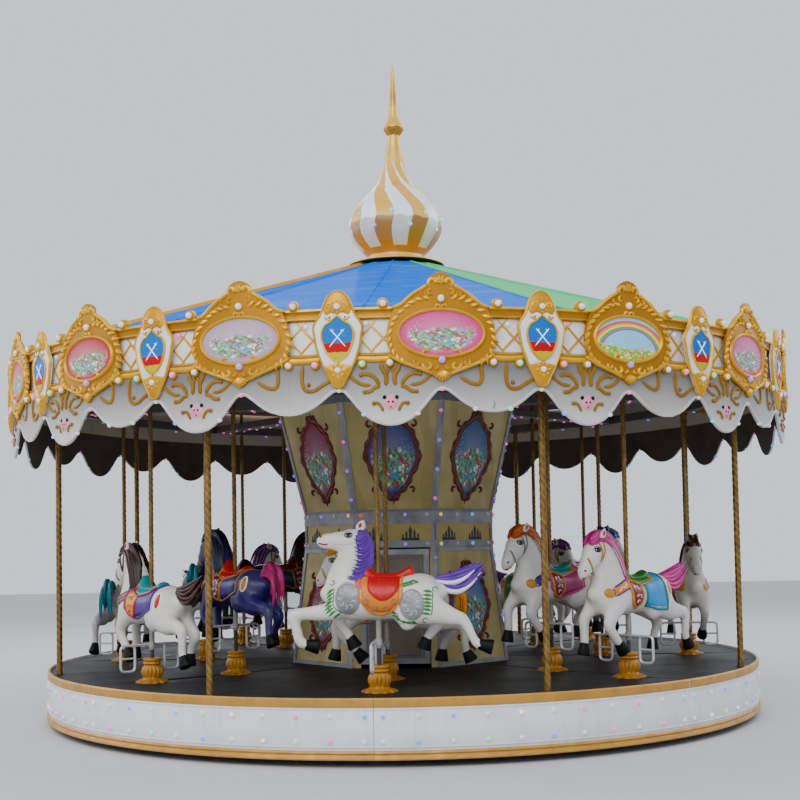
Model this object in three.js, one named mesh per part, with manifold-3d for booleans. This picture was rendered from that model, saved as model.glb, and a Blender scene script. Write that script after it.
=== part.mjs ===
// A small fairground carousel: a turning platform with galloping horses in two rings, a centre
// drum with an access door, twisted posts, a decorated cornice with hanging drip panels, a
// pyramid roof and an onion dome. Millimetres, +Z up, origin at ground level on the turning axis.
import * as THREE from "three";
import Module from "manifold-3d";

const wasm = await Module();
wasm.setup();

// Layout. Angles are in degrees about the vertical axis, from the front (-Y) towards +X.
const SECTORS = 8;
const SECTOR = 360 / SECTORS;
const ROW_ANGLE = -3.7;
const POST_ANGLE = ROW_ANGLE + SECTOR / 2;
const CORNICE_ANGLE = 4.8;
const FITTED_GAP = 0.3;

// Fixed frame on the ground, with the spindle that the platform turns on
const FRAME_FOOT_HEIGHT = 20;
const FRAME_FOOT_WIDTH = 200;
const FRAME_ARM_END = 2780;
const FRAME_ARM_WIDTH = 90;
const FRAME_ARM_TOP = 100;
const FRAME_HUB_RADIUS = 300;
const FRAME_HUB_TOP = 118;
const SPINDLE_RADIUS = 60;
const SPINDLE_TOP = 300;
const ROUND_BAR_SIDES = 16;

// Turning deck and its rim
const DECK_RADIUS = 2975;
const DECK_BOTTOM = 360;
const DECK_TOP = 420;
const DECK_SIDES = 64;
const DECK_HUB_RADIUS = 160;
const RIM_RADIUS = 3000;
const RIM_BOTTOM = 50;
const RIM_TOP = 440;
const RIM_BAND_DEPTH = 58;
const RIM_BAND_PROUD = 10;
const RIM_TRIM_DEPTH = 60;
const RIM_TRIM_PROUD = 28;
const RIM_SEAM = 3;
const RIM_STEPS = DECK_SIDES / SECTORS;
const HALF_PANEL_SECTOR = 1;

// Posts
const POST_CIRCLE = 2905;
const POST_RADIUS = 25;
const POST_SIDES = 10;

// Horse rows: two abreast, each on a pole that slides in a pedestal
const OUTER_RING = 2480;
const INNER_RING = 1740;
const PEDESTAL_SIDES = 8;
const PEDESTAL_TOP = 600;
const POLE_LOW_RADIUS = 15;
const POLE_HIGH_RADIUS = 19;
const POLE_SIDES = 6;
const POLE_DEPTH_IN_PEDESTAL = 120;
const POLE_TOP = 2850;
const HOOF_HEIGHT = 600;
// The footrest: a crossbar in front of the pole, with a loop and its rung at each end
const FOOT_LOOP_INNER = 115;
const FOOT_LOOP_OUTER = 250;
const FOOT_LOOP_HEIGHT = 208;
const FOOT_TUBE = 17;
const FOOT_BAR_AHEAD = 33;
const FOOT_CLAMP_WIDTH = 30;
// Limbs of the two horse moulds: forwards, sideways and up, then half width and half depth.
// One reaches out with its head up, the other prances with an arched neck and a curled tail.
const REACHING = {
  trunk: [[-390, 0, 375, 60, 75], [-200, 0, 370, 145, 160], [270, 0, 370, 150, 160],
    [420, 0, 410, 60, 60]],
  neck: [[-235, 0, 430, 95, 130], [-165, 0, 775, 60, 95], [-430, 0, 765, 32, 45]],
  tail: [[370, 0, 455, 35, 45], [705, 0, 540, 30, 40]],
  legs: [
    [[-300, -75, 290, 50, 72], [-575, -85, 260, 38, 46], [-535, -85, 85, 34, 38],
      [-400, -85, 60, 36, 42]],
    [[-240, 75, 300, 50, 65], [-285, 85, 205, 36, 42], [-185, 85, 38, 34, 38]],
    [[300, -75, 300, 60, 100], [560, -85, 240, 38, 48], [705, -85, 28, 35, 38]],
    [[280, 75, 300, 60, 100], [400, 85, 190, 38, 46], [300, 85, 40, 34, 38]],
  ],
  footrestTop: 78,
  poleDrop: 112,
};
const PRANCING = {
  trunk: [[-380, 0, 448, 60, 75], [-200, 0, 434, 140, 148], [270, 0, 443, 145, 140],
    [412, 0, 458, 60, 60]],
  neck: [[-225, 0, 490, 95, 130], [-200, 0, 665, 75, 122], [-262, 0, 805, 52, 72]],
  head: [[-275, 0, 808, 50, 62], [-350, 0, 715, 62, 88], [-505, 0, 552, 36, 46]],
  tail: [[375, 0, 522, 35, 42], [480, 0, 572, 40, 45], [545, 0, 480, 42, 45],
    [538, 0, 365, 28, 30]],
  legs: [
    [[-230, -75, 375, 55, 88], [-325, -85, 235, 40, 46], [-215, -85, 100, 34, 37],
      [-158, -85, 38, 36, 42]],
    [[-265, 75, 375, 55, 82], [-390, 85, 265, 40, 46], [-388, 85, 100, 34, 36],
      [-405, 85, 20, 36, 42]],
    [[270, -75, 370, 60, 115], [420, -85, 305, 55, 72], [567, -85, 275, 38, 46],
      [572, -85, 110, 32, 34], [615, -85, 22, 36, 42]],
    [[270, 75, 370, 60, 115], [465, 85, 225, 42, 48], [400, 85, 90, 32, 34],
      [392, 85, 10, 36, 40]],
  ],
  footrestTop: 152,
  poleDrop: 0,
};
// How far each horse stands above or below the middle of its stroke, row by row
const OUTER_LIFT = [85, -20, -50, 35, 70, -60, -75, -45];
const INNER_LIFT = [-65, 40, 30, -70, -40, 60, 45, 55];

// Centre drum, an octagon that narrows to its waist and widens again below the ceiling
const DRUM_FOOT_RADIUS = 980;
const DRUM_WAIST_RADIUS = 860;
const DRUM_CROWN_RADIUS = 1080;
const DRUM_WALL = 20;
const DRUM_RAIL_PROUD = 12;
const DRUM_WAIST_BOTTOM = 1383;
const DRUM_FRIEZE_BOTTOM = 1440;
const DRUM_FRIEZE_TOP = 1578;
const DRUM_WAIST_TOP = 1676;
const DRUM_CROWN_BOTTOM = 2560;
const DOOR_WIDTH = 560;
const DOOR_BOTTOM = 450;
const DOOR_TOP = 1370;
const DOOR_GAP = 6;

// Canopy structure
const CEILING_BOTTOM = 2620;
const CEILING_TOP = 2700;
const CANOPY_RING_INNER = 2875;
const CANOPY_RING_OUTER = 2935;
const CANOPY_COLLAR_INNER = 940;
const ROW_BAR_OFFSET = 45;
const ROW_BAR_WIDTH = 40;

// Cornice and drip panels
const CORNICE_INNER = 3200;
const CORNICE_FIELD = 3222;
const CORNICE_RAIL = 3256;
const CORNICE_PLAQUE = 3300;
const CORNICE_BOTTOM = 2545;
const CORNICE_RAIL_HEIGHT = 72;
const CORNICE_TOP = 2874;
const CORNICE_STEPS = 8;
const BRACKET_WIDTH = 50;
const CARTOUCHE_TOP = 3080;
const CARTOUCHE_BOTTOM = 2405;
const CARTOUCHE_HALF_WIDTH = 290;
const SHIELD_TOP = 2976;
const SHIELD_BOTTOM = 2375;
const SHIELD_HALF_WIDTH = 140;
const DRIP_OUTER = 3250;
const DRIP_THICKNESS = 15;
const DRIP_ARCH = 2360;
const DRIP_LONG_LOBE = 2137;
const DRIP_SHORT_LOBE = 2215;
const DRIP_STEPS = 16;

// Roof and dome
const ROOF_SIDES = 16;
const ROOF_EAVE_RADIUS = 3225;
const ROOF_TOP_RADIUS = 340;
const ROOF_TOP = 3862;
const ROOF_THICKNESS = 14;
const DOME_SIDES = 16;
const FLANGE_RADIUS = 433;
const FLANGE_THICKNESS = 18;
// Radius and height pairs up the onion, from the collar to the neck
const ONION_PROFILE = [
  [300, 3890], [262, 3945], [260, 4025], [345, 4114], [411, 4290],
  [354, 4457], [217, 4593], [132, 4693], [81, 4874],
];
// The spire: the neck, its ball and the long point
const SPIRE_PROFILE = [
  [81, 4874], [52, 5060], [84, 5105], [84, 5160], [37, 5292], [6, 5705],
];

const radians = THREE.MathUtils.degToRad;

// The point at a radius, an angle and a height.
function polar(radius, angle, z) {
  const a = radians(angle);
  return new THREE.Vector3(radius * Math.sin(a), -radius * Math.cos(a), z);
}

// A closed surface from points and triangles: equal points are joined, flat triangles are
// dropped, and the faces are turned outwards.
function closedSurface(points, triangles) {
  const seen = new Map();
  const unique = [];
  const index = points.map((p) => {
    const key = [p.x, p.y, p.z].map((v) => Math.round(v * 1000)).join();
    if (!seen.has(key)) {
      seen.set(key, unique.length);
      unique.push(p);
    }
    return seen.get(key);
  });
  const faces = triangles
    .map((t) => t.map((i) => index[i]))
    .filter(([a, b, c]) => a !== b && b !== c && c !== a);
  const volume = faces.reduce(
    (sum, [a, b, c]) => sum + unique[a].dot(unique[b].clone().cross(unique[c])),
    0,
  );
  const outward = volume < 0 ? faces.map(([a, b, c]) => [a, c, b]) : faces;
  const geometry = new THREE.BufferGeometry();
  geometry.setAttribute(
    "position",
    new THREE.Float32BufferAttribute(unique.flatMap((p) => [p.x, p.y, p.z]), 3),
  );
  geometry.setIndex(outward.flat());
  return geometry;
}

// The triangles that close a section whose outline is given in the plane.
function capTriangles(outline) {
  const area = THREE.ShapeUtils.area(outline);
  return THREE.ShapeUtils.triangulateShape(outline, []).map(([a, b, c]) => {
    const turn = THREE.ShapeUtils.area([outline[a], outline[b], outline[c]]);
    return turn * area < 0 ? [a, c, b] : [a, b, c];
  });
}

// The skin between neighbouring sections that have the same number of points.
function skinTriangles(sections, wrap) {
  const count = sections[0].length;
  const spans = wrap ? sections.length : sections.length - 1;
  const triangles = [];
  for (let s = 0; s < spans; s++) {
    const near = s * count;
    const far = ((s + 1) % sections.length) * count;
    for (let i = 0; i < count; i++) {
      const j = (i + 1) % count;
      triangles.push([near + i, near + j, far + j], [near + i, far + j, far + i]);
    }
  }
  return triangles;
}

// A solid through a row of sections, closed at both ends.
function loft(sections, outline) {
  const last = (sections.length - 1) * outline.length;
  const triangles = skinTriangles(sections, false);
  for (const [a, b, c] of capTriangles(outline)) {
    triangles.push([a, c, b], [last + a, last + b, last + c]);
  }
  return closedSurface(sections.flat(), triangles);
}

// A profile of radius and height pairs carried round an arc of the vertical axis.
function arcSolid(profile, from, to, steps) {
  const sections = [];
  for (let s = 0; s <= steps; s++) {
    const angle = from + ((to - from) * s) / steps;
    sections.push(profile.map(([radius, z]) => polar(radius, angle, z)));
  }
  return loft(sections, profile.map(([radius, z]) => new THREE.Vector2(radius, z)));
}

// A profile of radius and height pairs turned all the way round the vertical axis.
function turned(profile, sides, start = 0) {
  const sections = [];
  for (let s = 0; s < sides; s++) {
    const angle = start + (360 * s) / sides;
    sections.push(profile.map(([radius, z]) => polar(radius, angle, z)));
  }
  return closedSurface(sections.flat(), skinTriangles(sections, true));
}

// A round bar between two heights on the vertical axis.
function bar(radius, bottom, top, sides) {
  return turned([[0, bottom], [radius, bottom], [radius, top], [0, top]], sides);
}

// A box between two corners.
function box(low, high) {
  const geometry = new THREE.BoxGeometry(high[0] - low[0], high[1] - low[1], high[2] - low[2]);
  return geometry.translate(
    (low[0] + high[0]) / 2,
    (low[1] + high[1]) / 2,
    (low[2] + high[2]) / 2,
  );
}

// A flat plate that stands on edge facing outwards at the front: its outline is in width and
// height, and it reaches from one distance to another from the axis.
function plate(shape, inner, outer, curveSegments) {
  const geometry = new THREE.ExtrudeGeometry(shape, {
    depth: outer - inner,
    bevelEnabled: false,
    curveSegments,
  });
  return geometry.rotateX(Math.PI / 2).translate(0, -inner, 0);
}

// A bent limb with oval sections. Each station is [x, y, z, half width, half depth].
function limb(stations, sides) {
  const centres = stations.map(([x, y, z]) => new THREE.Vector3(x, y, z));
  const sections = stations.map(([, , , halfWidth, halfDepth], s) => {
    const ahead = centres[Math.min(s + 1, centres.length - 1)];
    const behind = centres[Math.max(s - 1, 0)];
    const along = ahead.clone().sub(behind).setY(0).normalize();
    const across = new THREE.Vector3(-along.z, 0, along.x);
    return Array.from({ length: sides }, (_, i) => {
      const turn = (2 * Math.PI * (i + 0.5)) / sides;
      return centres[s].clone()
        .addScaledVector(across, halfDepth * Math.sin(turn))
        .add(new THREE.Vector3(0, halfWidth * Math.cos(turn), 0));
    });
  });
  const outline = Array.from({ length: sides }, (_, i) => {
    const turn = (2 * Math.PI * (i + 0.5)) / sides;
    return new THREE.Vector2(Math.cos(turn), Math.sin(turn));
  });
  return loft(sections, outline);
}

// A manifold solid of a closed geometry.
function solidOf(geometry) {
  const source = geometry.index ? geometry.toNonIndexed() : geometry;
  const position = source.getAttribute("position");
  const points = [];
  const triangles = [];
  for (let i = 0; i < position.count; i++) {
    points.push(new THREE.Vector3().fromBufferAttribute(position, i));
  }
  for (let i = 0; i < position.count; i += 3) triangles.push([i, i + 1, i + 2]);
  const welded = closedSurface(points, triangles);
  return new wasm.Manifold(new wasm.Mesh({
    numProp: 3,
    vertProperties: welded.getAttribute("position").array,
    triVerts: new Uint32Array(welded.index.array),
  }));
}

// The geometry of a manifold solid.
function geometryOf(solid) {
  const mesh = solid.getMesh();
  const geometry = new THREE.BufferGeometry();
  geometry.setAttribute("position", new THREE.Float32BufferAttribute(mesh.vertProperties, 3));
  geometry.setIndex([...mesh.triVerts]);
  geometry.computeVertexNormals();
  return geometry;
}

// One body out of several that overlap, less the cuts.
function fuse(pieces, cuts = []) {
  const whole = pieces.map(solidOf).reduce((sum, piece) => sum.add(piece));
  return geometryOf(cuts.map(solidOf).reduce((rest, cut) => rest.subtract(cut), whole));
}

const materials = {
  frameSteel: new THREE.MeshStandardMaterial({ color: 0x3a3b3d, roughness: 0.6, metalness: 0.6 }),
  deckGrey: new THREE.MeshStandardMaterial({ color: 0x55565a, roughness: 0.55, metalness: 0.1 }),
  rimWhite: new THREE.MeshStandardMaterial({ color: 0xd9dadc, roughness: 0.35, metalness: 0 }),
  ropeBrass: new THREE.MeshStandardMaterial({ color: 0xb08a45, roughness: 0.35, metalness: 0.8 }),
  drumOlive: new THREE.MeshStandardMaterial({ color: 0x8a8048, roughness: 0.5, metalness: 0 }),
  railSilver: new THREE.MeshStandardMaterial({ color: 0x9a9a9e, roughness: 0.4, metalness: 0.5 }),
  roofBlue: new THREE.MeshStandardMaterial({ color: 0x5b9bd8, roughness: 0.5, metalness: 0 }),
  domeGold: new THREE.MeshStandardMaterial({ color: 0xc79a3a, roughness: 0.35, metalness: 0.4 }),
  corniceGold: new THREE.MeshStandardMaterial({ color: 0xc9a040, roughness: 0.4, metalness: 0.3 }),
  dripWhite: new THREE.MeshStandardMaterial({ color: 0xdededc, roughness: 0.35, metalness: 0 }),
  horseWhite: new THREE.MeshStandardMaterial({ color: 0xe6e4e0, roughness: 0.3, metalness: 0 }),
};

const carousel = new THREE.Group();

// A named part of the carousel, turned about the vertical axis.
function addPart(name, geometry, material, angle = 0, parent = carousel) {
  const mesh = new THREE.Mesh(geometry, material);
  mesh.name = name;
  mesh.rotation.z = radians(angle);
  parent.add(mesh);
  return mesh;
}

// Fixed frame: a hub with eight arms on feet, and the spindle standing on the hub.
function groundFrame() {
  const hub = bar(FRAME_HUB_RADIUS, 0, FRAME_HUB_TOP, ROUND_BAR_SIDES);
  const spindle = bar(SPINDLE_RADIUS, FRAME_HUB_TOP - 10, SPINDLE_TOP, ROUND_BAR_SIDES);
  const pieces = [hub, spindle];
  for (let k = 0; k < SECTORS; k++) {
    const turn = radians(POST_ANGLE + k * SECTOR);
    const arm = box(
      [-FRAME_ARM_WIDTH / 2, -FRAME_ARM_END, FRAME_FOOT_HEIGHT],
      [FRAME_ARM_WIDTH / 2, -FRAME_HUB_RADIUS / 2, FRAME_ARM_TOP],
    );
    const foot = box(
      [-FRAME_FOOT_WIDTH / 2, -FRAME_ARM_END, 0],
      [FRAME_FOOT_WIDTH / 2, -FRAME_ARM_END + FRAME_FOOT_WIDTH, FRAME_FOOT_HEIGHT + 5],
    );
    pieces.push(arm.rotateZ(turn), foot.rotateZ(turn));
  }
  return fuse(pieces);
}

// A pedestal for a horse's pole, standing on the deck at the origin.
function pedestal() {
  return turned([
    [0, DECK_BOTTOM + 20], [122, DECK_BOTTOM + 20], [122, DECK_TOP + 16], [72, DECK_TOP + 36],
    [84, DECK_TOP + 85], [62, DECK_TOP + 128], [66, PEDESTAL_TOP], [0, PEDESTAL_TOP],
  ], PEDESTAL_SIDES);
}

// The deck: a round plate with its hub, the pedestals, and a bore under each pole.
function deck() {
  const disc = turned(
    [[0, DECK_BOTTOM], [DECK_RADIUS, DECK_BOTTOM], [DECK_RADIUS, DECK_TOP], [0, DECK_TOP]],
    DECK_SIDES,
    ROW_ANGLE,
  );
  const hub = bar(DECK_HUB_RADIUS, FRAME_HUB_TOP + FITTED_GAP, DECK_BOTTOM + 20, ROUND_BAR_SIDES);
  const pieces = [disc, hub];
  const boreRadius = (SPINDLE_RADIUS + FITTED_GAP) / Math.cos(Math.PI / ROUND_BAR_SIDES);
  const cuts = [bar(boreRadius, 0, SPINDLE_TOP + 40, ROUND_BAR_SIDES)];
  for (let k = 0; k < SECTORS; k++) {
    for (const ring of [OUTER_RING, INNER_RING]) {
      const place = (geometry) =>
        geometry.translate(0, -ring, 0).rotateZ(radians(ROW_ANGLE + k * SECTOR));
      const bore = bar(POLE_LOW_RADIUS + FITTED_GAP, 0, PEDESTAL_TOP + 50, POLE_SIDES);
      pieces.push(place(pedestal()));
      cuts.push(place(bore));
    }
  }
  return fuse(pieces, cuts);
}

// A rim panel over an arc that starts at the seam: white face, raised top band, bottom trim.
function rimPanel(arc) {
  const inner = DECK_RADIUS + FITTED_GAP;
  const bandBottom = RIM_TOP - RIM_BAND_DEPTH;
  const trimTop = RIM_BOTTOM + RIM_TRIM_DEPTH;
  const profile = [
    [inner, RIM_BOTTOM],
    [RIM_RADIUS + RIM_TRIM_PROUD, RIM_BOTTOM],
    [RIM_RADIUS + RIM_TRIM_PROUD, trimTop - 15],
    [RIM_RADIUS, trimTop],
    [RIM_RADIUS, bandBottom],
    [RIM_RADIUS + RIM_BAND_PROUD, bandBottom + 5],
    [RIM_RADIUS + RIM_BAND_PROUD, RIM_TOP],
    [inner, RIM_TOP],
  ];
  const trim = THREE.MathUtils.radToDeg(RIM_SEAM / 2 / RIM_RADIUS);
  return arcSolid(profile, trim, arc - trim, Math.round((RIM_STEPS * arc) / SECTOR));
}

// A post from the deck to the canopy ring, at the front.
function post() {
  return bar(POST_RADIUS, DECK_TOP + FITTED_GAP, CEILING_BOTTOM - FITTED_GAP, POST_SIDES)
    .translate(0, -POST_CIRCLE, 0);
}

// Corner radius of the lower drum at a height.
function drumRadius(z) {
  const rise = (z - DECK_TOP) / (DRUM_WAIST_BOTTOM - DECK_TOP);
  return THREE.MathUtils.lerp(DRUM_FOOT_RADIUS, DRUM_WAIST_RADIUS, rise);
}

// Distance of a drum face from the axis, for a corner radius.
function flatOf(cornerRadius) {
  return cornerRadius * Math.cos(radians(SECTOR / 2));
}

// Lower drum: seven closed faces and two door jambs round the doorway, which faces front. The
// door hangs close to the jamb on its left, and has a gap at the other.
function lowerDrum() {
  const bottom = DECK_TOP + FITTED_GAP;
  const top = DRUM_WAIST_BOTTOM - FITTED_GAP;
  const hingeJamb = DOOR_WIDTH / 2 + FITTED_GAP;
  const lockJamb = DOOR_WIDTH / 2 + DOOR_GAP;
  const cornerWall = DRUM_WALL / Math.cos(radians(SECTOR / 2));
  const jambSection = (x) => [
    new THREE.Vector3(x, -flatOf(drumRadius(bottom)), bottom),
    new THREE.Vector3(x, -flatOf(drumRadius(top)), top),
    new THREE.Vector3(x, -flatOf(drumRadius(top)) + DRUM_WALL, top),
    new THREE.Vector3(x, -flatOf(drumRadius(bottom)) + DRUM_WALL, bottom),
  ];
  const cornerSection = (angle) => [
    polar(drumRadius(bottom), angle, bottom),
    polar(drumRadius(top), angle, top),
    polar(drumRadius(top) - cornerWall, angle, top),
    polar(drumRadius(bottom) - cornerWall, angle, bottom),
  ];
  const sections = [jambSection(lockJamb)];
  for (let k = 0; k < SECTORS; k++) sections.push(cornerSection(SECTOR / 2 + k * SECTOR));
  sections.push(jambSection(-hingeJamb));
  const outline = [[1, 0], [0.8, 1], [0, 1], [0.2, 0]].map(([x, y]) => new THREE.Vector2(x, y));
  return loft(sections, outline);
}

// The door leaf, in the leaning plane of the drum's front face.
function drumDoor() {
  const half = DOOR_WIDTH / 2;
  const section = (x) => [
    new THREE.Vector3(x, -flatOf(drumRadius(DOOR_BOTTOM)), DOOR_BOTTOM),
    new THREE.Vector3(x, -flatOf(drumRadius(DOOR_TOP)), DOOR_TOP),
    new THREE.Vector3(x, -flatOf(drumRadius(DOOR_TOP)) + DRUM_WALL, DOOR_TOP),
    new THREE.Vector3(x, -flatOf(drumRadius(DOOR_BOTTOM)) + DRUM_WALL, DOOR_BOTTOM),
  ];
  const outline = [[1, 0], [0.8, 1], [0, 1], [0.2, 0]].map(([x, y]) => new THREE.Vector2(x, y));
  return loft([section(-half), section(half)], outline);
}

// The drum's waist: two proud rails with the frieze between them, closed across.
function drumWaist() {
  const proud = DRUM_WAIST_RADIUS + DRUM_RAIL_PROUD;
  return turned([
    [0, DRUM_WAIST_BOTTOM], [proud, DRUM_WAIST_BOTTOM], [proud, DRUM_FRIEZE_BOTTOM],
    [DRUM_WAIST_RADIUS, DRUM_FRIEZE_BOTTOM], [DRUM_WAIST_RADIUS, DRUM_FRIEZE_TOP],
    [proud, DRUM_FRIEZE_TOP], [proud, DRUM_WAIST_TOP], [0, DRUM_WAIST_TOP],
  ], SECTORS, SECTOR / 2);
}

// The drum's flared upper part with its crown rail.
function upperDrum() {
  const bottom = DRUM_WAIST_TOP + FITTED_GAP;
  const top = CEILING_BOTTOM - FITTED_GAP;
  return turned([
    [0, bottom], [DRUM_WAIST_RADIUS, bottom], [DRUM_CROWN_RADIUS, DRUM_CROWN_BOTTOM],
    [DRUM_CROWN_RADIUS + DRUM_RAIL_PROUD, DRUM_CROWN_BOTTOM],
    [DRUM_CROWN_RADIUS + DRUM_RAIL_PROUD, top], [0, top],
  ], SECTORS, SECTOR / 2);
}

// Canopy frame: a collar on the drum, a ring over the posts, and a pair of bars along each row
// with the horses' poles between them.
function canopyFrame() {
  const collar = turned([
    [CANOPY_COLLAR_INNER, CEILING_BOTTOM], [DRUM_CROWN_RADIUS + 30, CEILING_BOTTOM],
    [DRUM_CROWN_RADIUS + 30, CEILING_TOP], [CANOPY_COLLAR_INNER, CEILING_TOP],
  ], SECTORS, POST_ANGLE);
  const ring = turned([
    [CANOPY_RING_INNER, CEILING_BOTTOM], [CANOPY_RING_OUTER, CEILING_BOTTOM],
    [CANOPY_RING_OUTER, CEILING_TOP], [CANOPY_RING_INNER, CEILING_TOP],
  ], 2 * SECTORS, POST_ANGLE);
  const pieces = [collar, ring];
  for (let k = 0; k < SECTORS; k++) {
    for (const side of [-1, 1]) {
      const inner = side * (ROW_BAR_OFFSET - ROW_BAR_WIDTH / 2);
      const outer = side * (ROW_BAR_OFFSET + ROW_BAR_WIDTH / 2);
      pieces.push(box(
        [Math.min(inner, outer), -(CANOPY_RING_INNER + 30), CEILING_BOTTOM + 5],
        [Math.max(inner, outer), -(CANOPY_COLLAR_INNER + 30), CEILING_TOP - 5],
      ).rotateZ(radians(ROW_ANGLE + k * SECTOR)));
    }
  }
  return fuse(pieces);
}

// Outline of a cartouche: a crest, shoulders, a wide middle and a pendant point.
function cartoucheShape() {
  const width = CARTOUCHE_HALF_WIDTH;
  const right = [
    [60, CARTOUCHE_TOP], [95, CARTOUCHE_TOP - 70], [180, CARTOUCHE_TOP - 190],
    [width, CARTOUCHE_TOP - 290], [width - 10, CARTOUCHE_TOP - 420],
    [130, CARTOUCHE_BOTTOM + 85], [45, CARTOUCHE_BOTTOM],
  ];
  const left = right.map(([x, z]) => [-x, z]).reverse();
  return new THREE.Shape([...right, ...left].reverse().map(([x, z]) => new THREE.Vector2(x, z)));
}

// Outline of a shield plaque: a pointed crest, shoulders and a long tip.
function shieldShape() {
  const right = [
    [30, SHIELD_TOP], [75, SHIELD_TOP - 110], [SHIELD_HALF_WIDTH, SHIELD_TOP - 230],
    [110, SHIELD_BOTTOM + 190], [35, SHIELD_BOTTOM],
  ];
  const left = right.map(([x, z]) => [-x, z]).reverse();
  return new THREE.Shape([...right, ...left].reverse().map(([x, z]) => new THREE.Vector2(x, z)));
}

// A cornice segment over one sector: rails, field, two shields and two cartouches, and a bracket
// to the canopy ring over the post. Each shield stands a quarter of a sector before a cartouche.
function corniceSegment() {
  const from = -SECTOR * 0.375;
  const to = SECTOR * 0.625;
  const seam = THREE.MathUtils.radToDeg(FITTED_GAP / CORNICE_INNER);
  const railTop = CORNICE_BOTTOM + CORNICE_RAIL_HEIGHT;
  const capBottom = CORNICE_TOP - CORNICE_RAIL_HEIGHT;
  const profile = [
    [CORNICE_INNER, CORNICE_BOTTOM], [CORNICE_RAIL, CORNICE_BOTTOM], [CORNICE_RAIL, railTop],
    [CORNICE_FIELD, railTop], [CORNICE_FIELD, capBottom], [CORNICE_RAIL, capBottom],
    [CORNICE_RAIL, CORNICE_TOP], [CORNICE_INNER, CORNICE_TOP],
  ];
  const pieces = [arcSolid(profile, from + seam, to - seam, CORNICE_STEPS)];
  for (const angle of [0, SECTOR / 2]) {
    const turn = radians(angle);
    const cartouche = plate(cartoucheShape(), DRIP_OUTER + 1, CORNICE_PLAQUE, 1);
    const shield = plate(shieldShape(), DRIP_OUTER + 1, CORNICE_PLAQUE, 1);
    pieces.push(cartouche.rotateZ(turn), shield.rotateZ(turn - radians(SECTOR / 4)));
  }
  const bracket = box(
    [-BRACKET_WIDTH / 2, -(CORNICE_INNER + 10), CEILING_BOTTOM + 10],
    [BRACKET_WIDTH / 2, -(CANOPY_RING_OUTER + FITTED_GAP), CEILING_TOP - 10],
  );
  pieces.push(bracket.rotateZ(radians(POST_ANGLE - CORNICE_ANGLE)));
  return fuse(pieces);
}

// A drip panel segment over one sector: arches under the plaques, with a long lobe before
// each cartouche and a short one after it.
function dripSegment() {
  const from = -SECTOR * 0.375;
  const seam = THREE.MathUtils.radToDeg(FITTED_GAP / CORNICE_INNER);
  const top = CORNICE_BOTTOM - FITTED_GAP;
  const inner = DRIP_OUTER - DRIP_THICKNESS;
  const sections = [];
  for (let s = 0; s <= DRIP_STEPS; s++) {
    const angle = from + (SECTOR * s) / DRIP_STEPS;
    const inSegment = THREE.MathUtils.clamp(angle, from + seam, from + SECTOR - seam);
    const lobeSpan = SECTOR / 4;
    const lobe = Math.floor(angle / lobeSpan + 1e-6);
    const lowest = Math.abs(lobe % 2) === 1 ? DRIP_LONG_LOBE : DRIP_SHORT_LOBE;
    const across = Math.sin(Math.PI * (angle / lobeSpan - lobe));
    const bottom = THREE.MathUtils.lerp(DRIP_ARCH, lowest, Math.max(across, 0));
    sections.push([
      polar(inner, inSegment, bottom), polar(DRIP_OUTER, inSegment, bottom),
      polar(DRIP_OUTER, inSegment, top), polar(inner, inSegment, top),
    ]);
  }
  const outline = [[0, 0], [1, 0], [1, 1], [0, 1]].map(([x, y]) => new THREE.Vector2(x, y));
  return loft(sections, outline);
}

// The roof: a sixteen-sided low pyramid shell, open under the dome, resting on the cornice.
function roof() {
  const eave = CORNICE_TOP + FITTED_GAP;
  return turned([
    [ROOF_EAVE_RADIUS, eave], [ROOF_EAVE_RADIUS, eave + ROOF_THICKNESS],
    [ROOF_TOP_RADIUS, ROOF_TOP], [ROOF_TOP_RADIUS - 160, ROOF_TOP],
    [ROOF_TOP_RADIUS - 160, ROOF_TOP - ROOF_THICKNESS],
    [ROOF_TOP_RADIUS - 20, ROOF_TOP - ROOF_THICKNESS],
    [ROOF_EAVE_RADIUS - 45, eave],
  ], ROOF_SIDES, POST_ANGLE);
}

// The onion dome with its flange, standing over the roof's top.
function onionDome() {
  const bottom = ROOF_TOP + FITTED_GAP;
  return turned([
    [0, bottom], [FLANGE_RADIUS, bottom], [FLANGE_RADIUS, bottom + FLANGE_THICKNESS],
    ...ONION_PROFILE, [0, ONION_PROFILE.at(-1)[1]],
  ], DOME_SIDES);
}

// The spire with its ball.
function spire() {
  const profile = SPIRE_PROFILE.map(([radius, z]) => [radius, z]);
  profile[0][1] += FITTED_GAP;
  return turned([[0, profile[0][1]], ...profile, [0, profile.at(-1)[1]]], ROUND_BAR_SIDES - 4);
}

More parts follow.
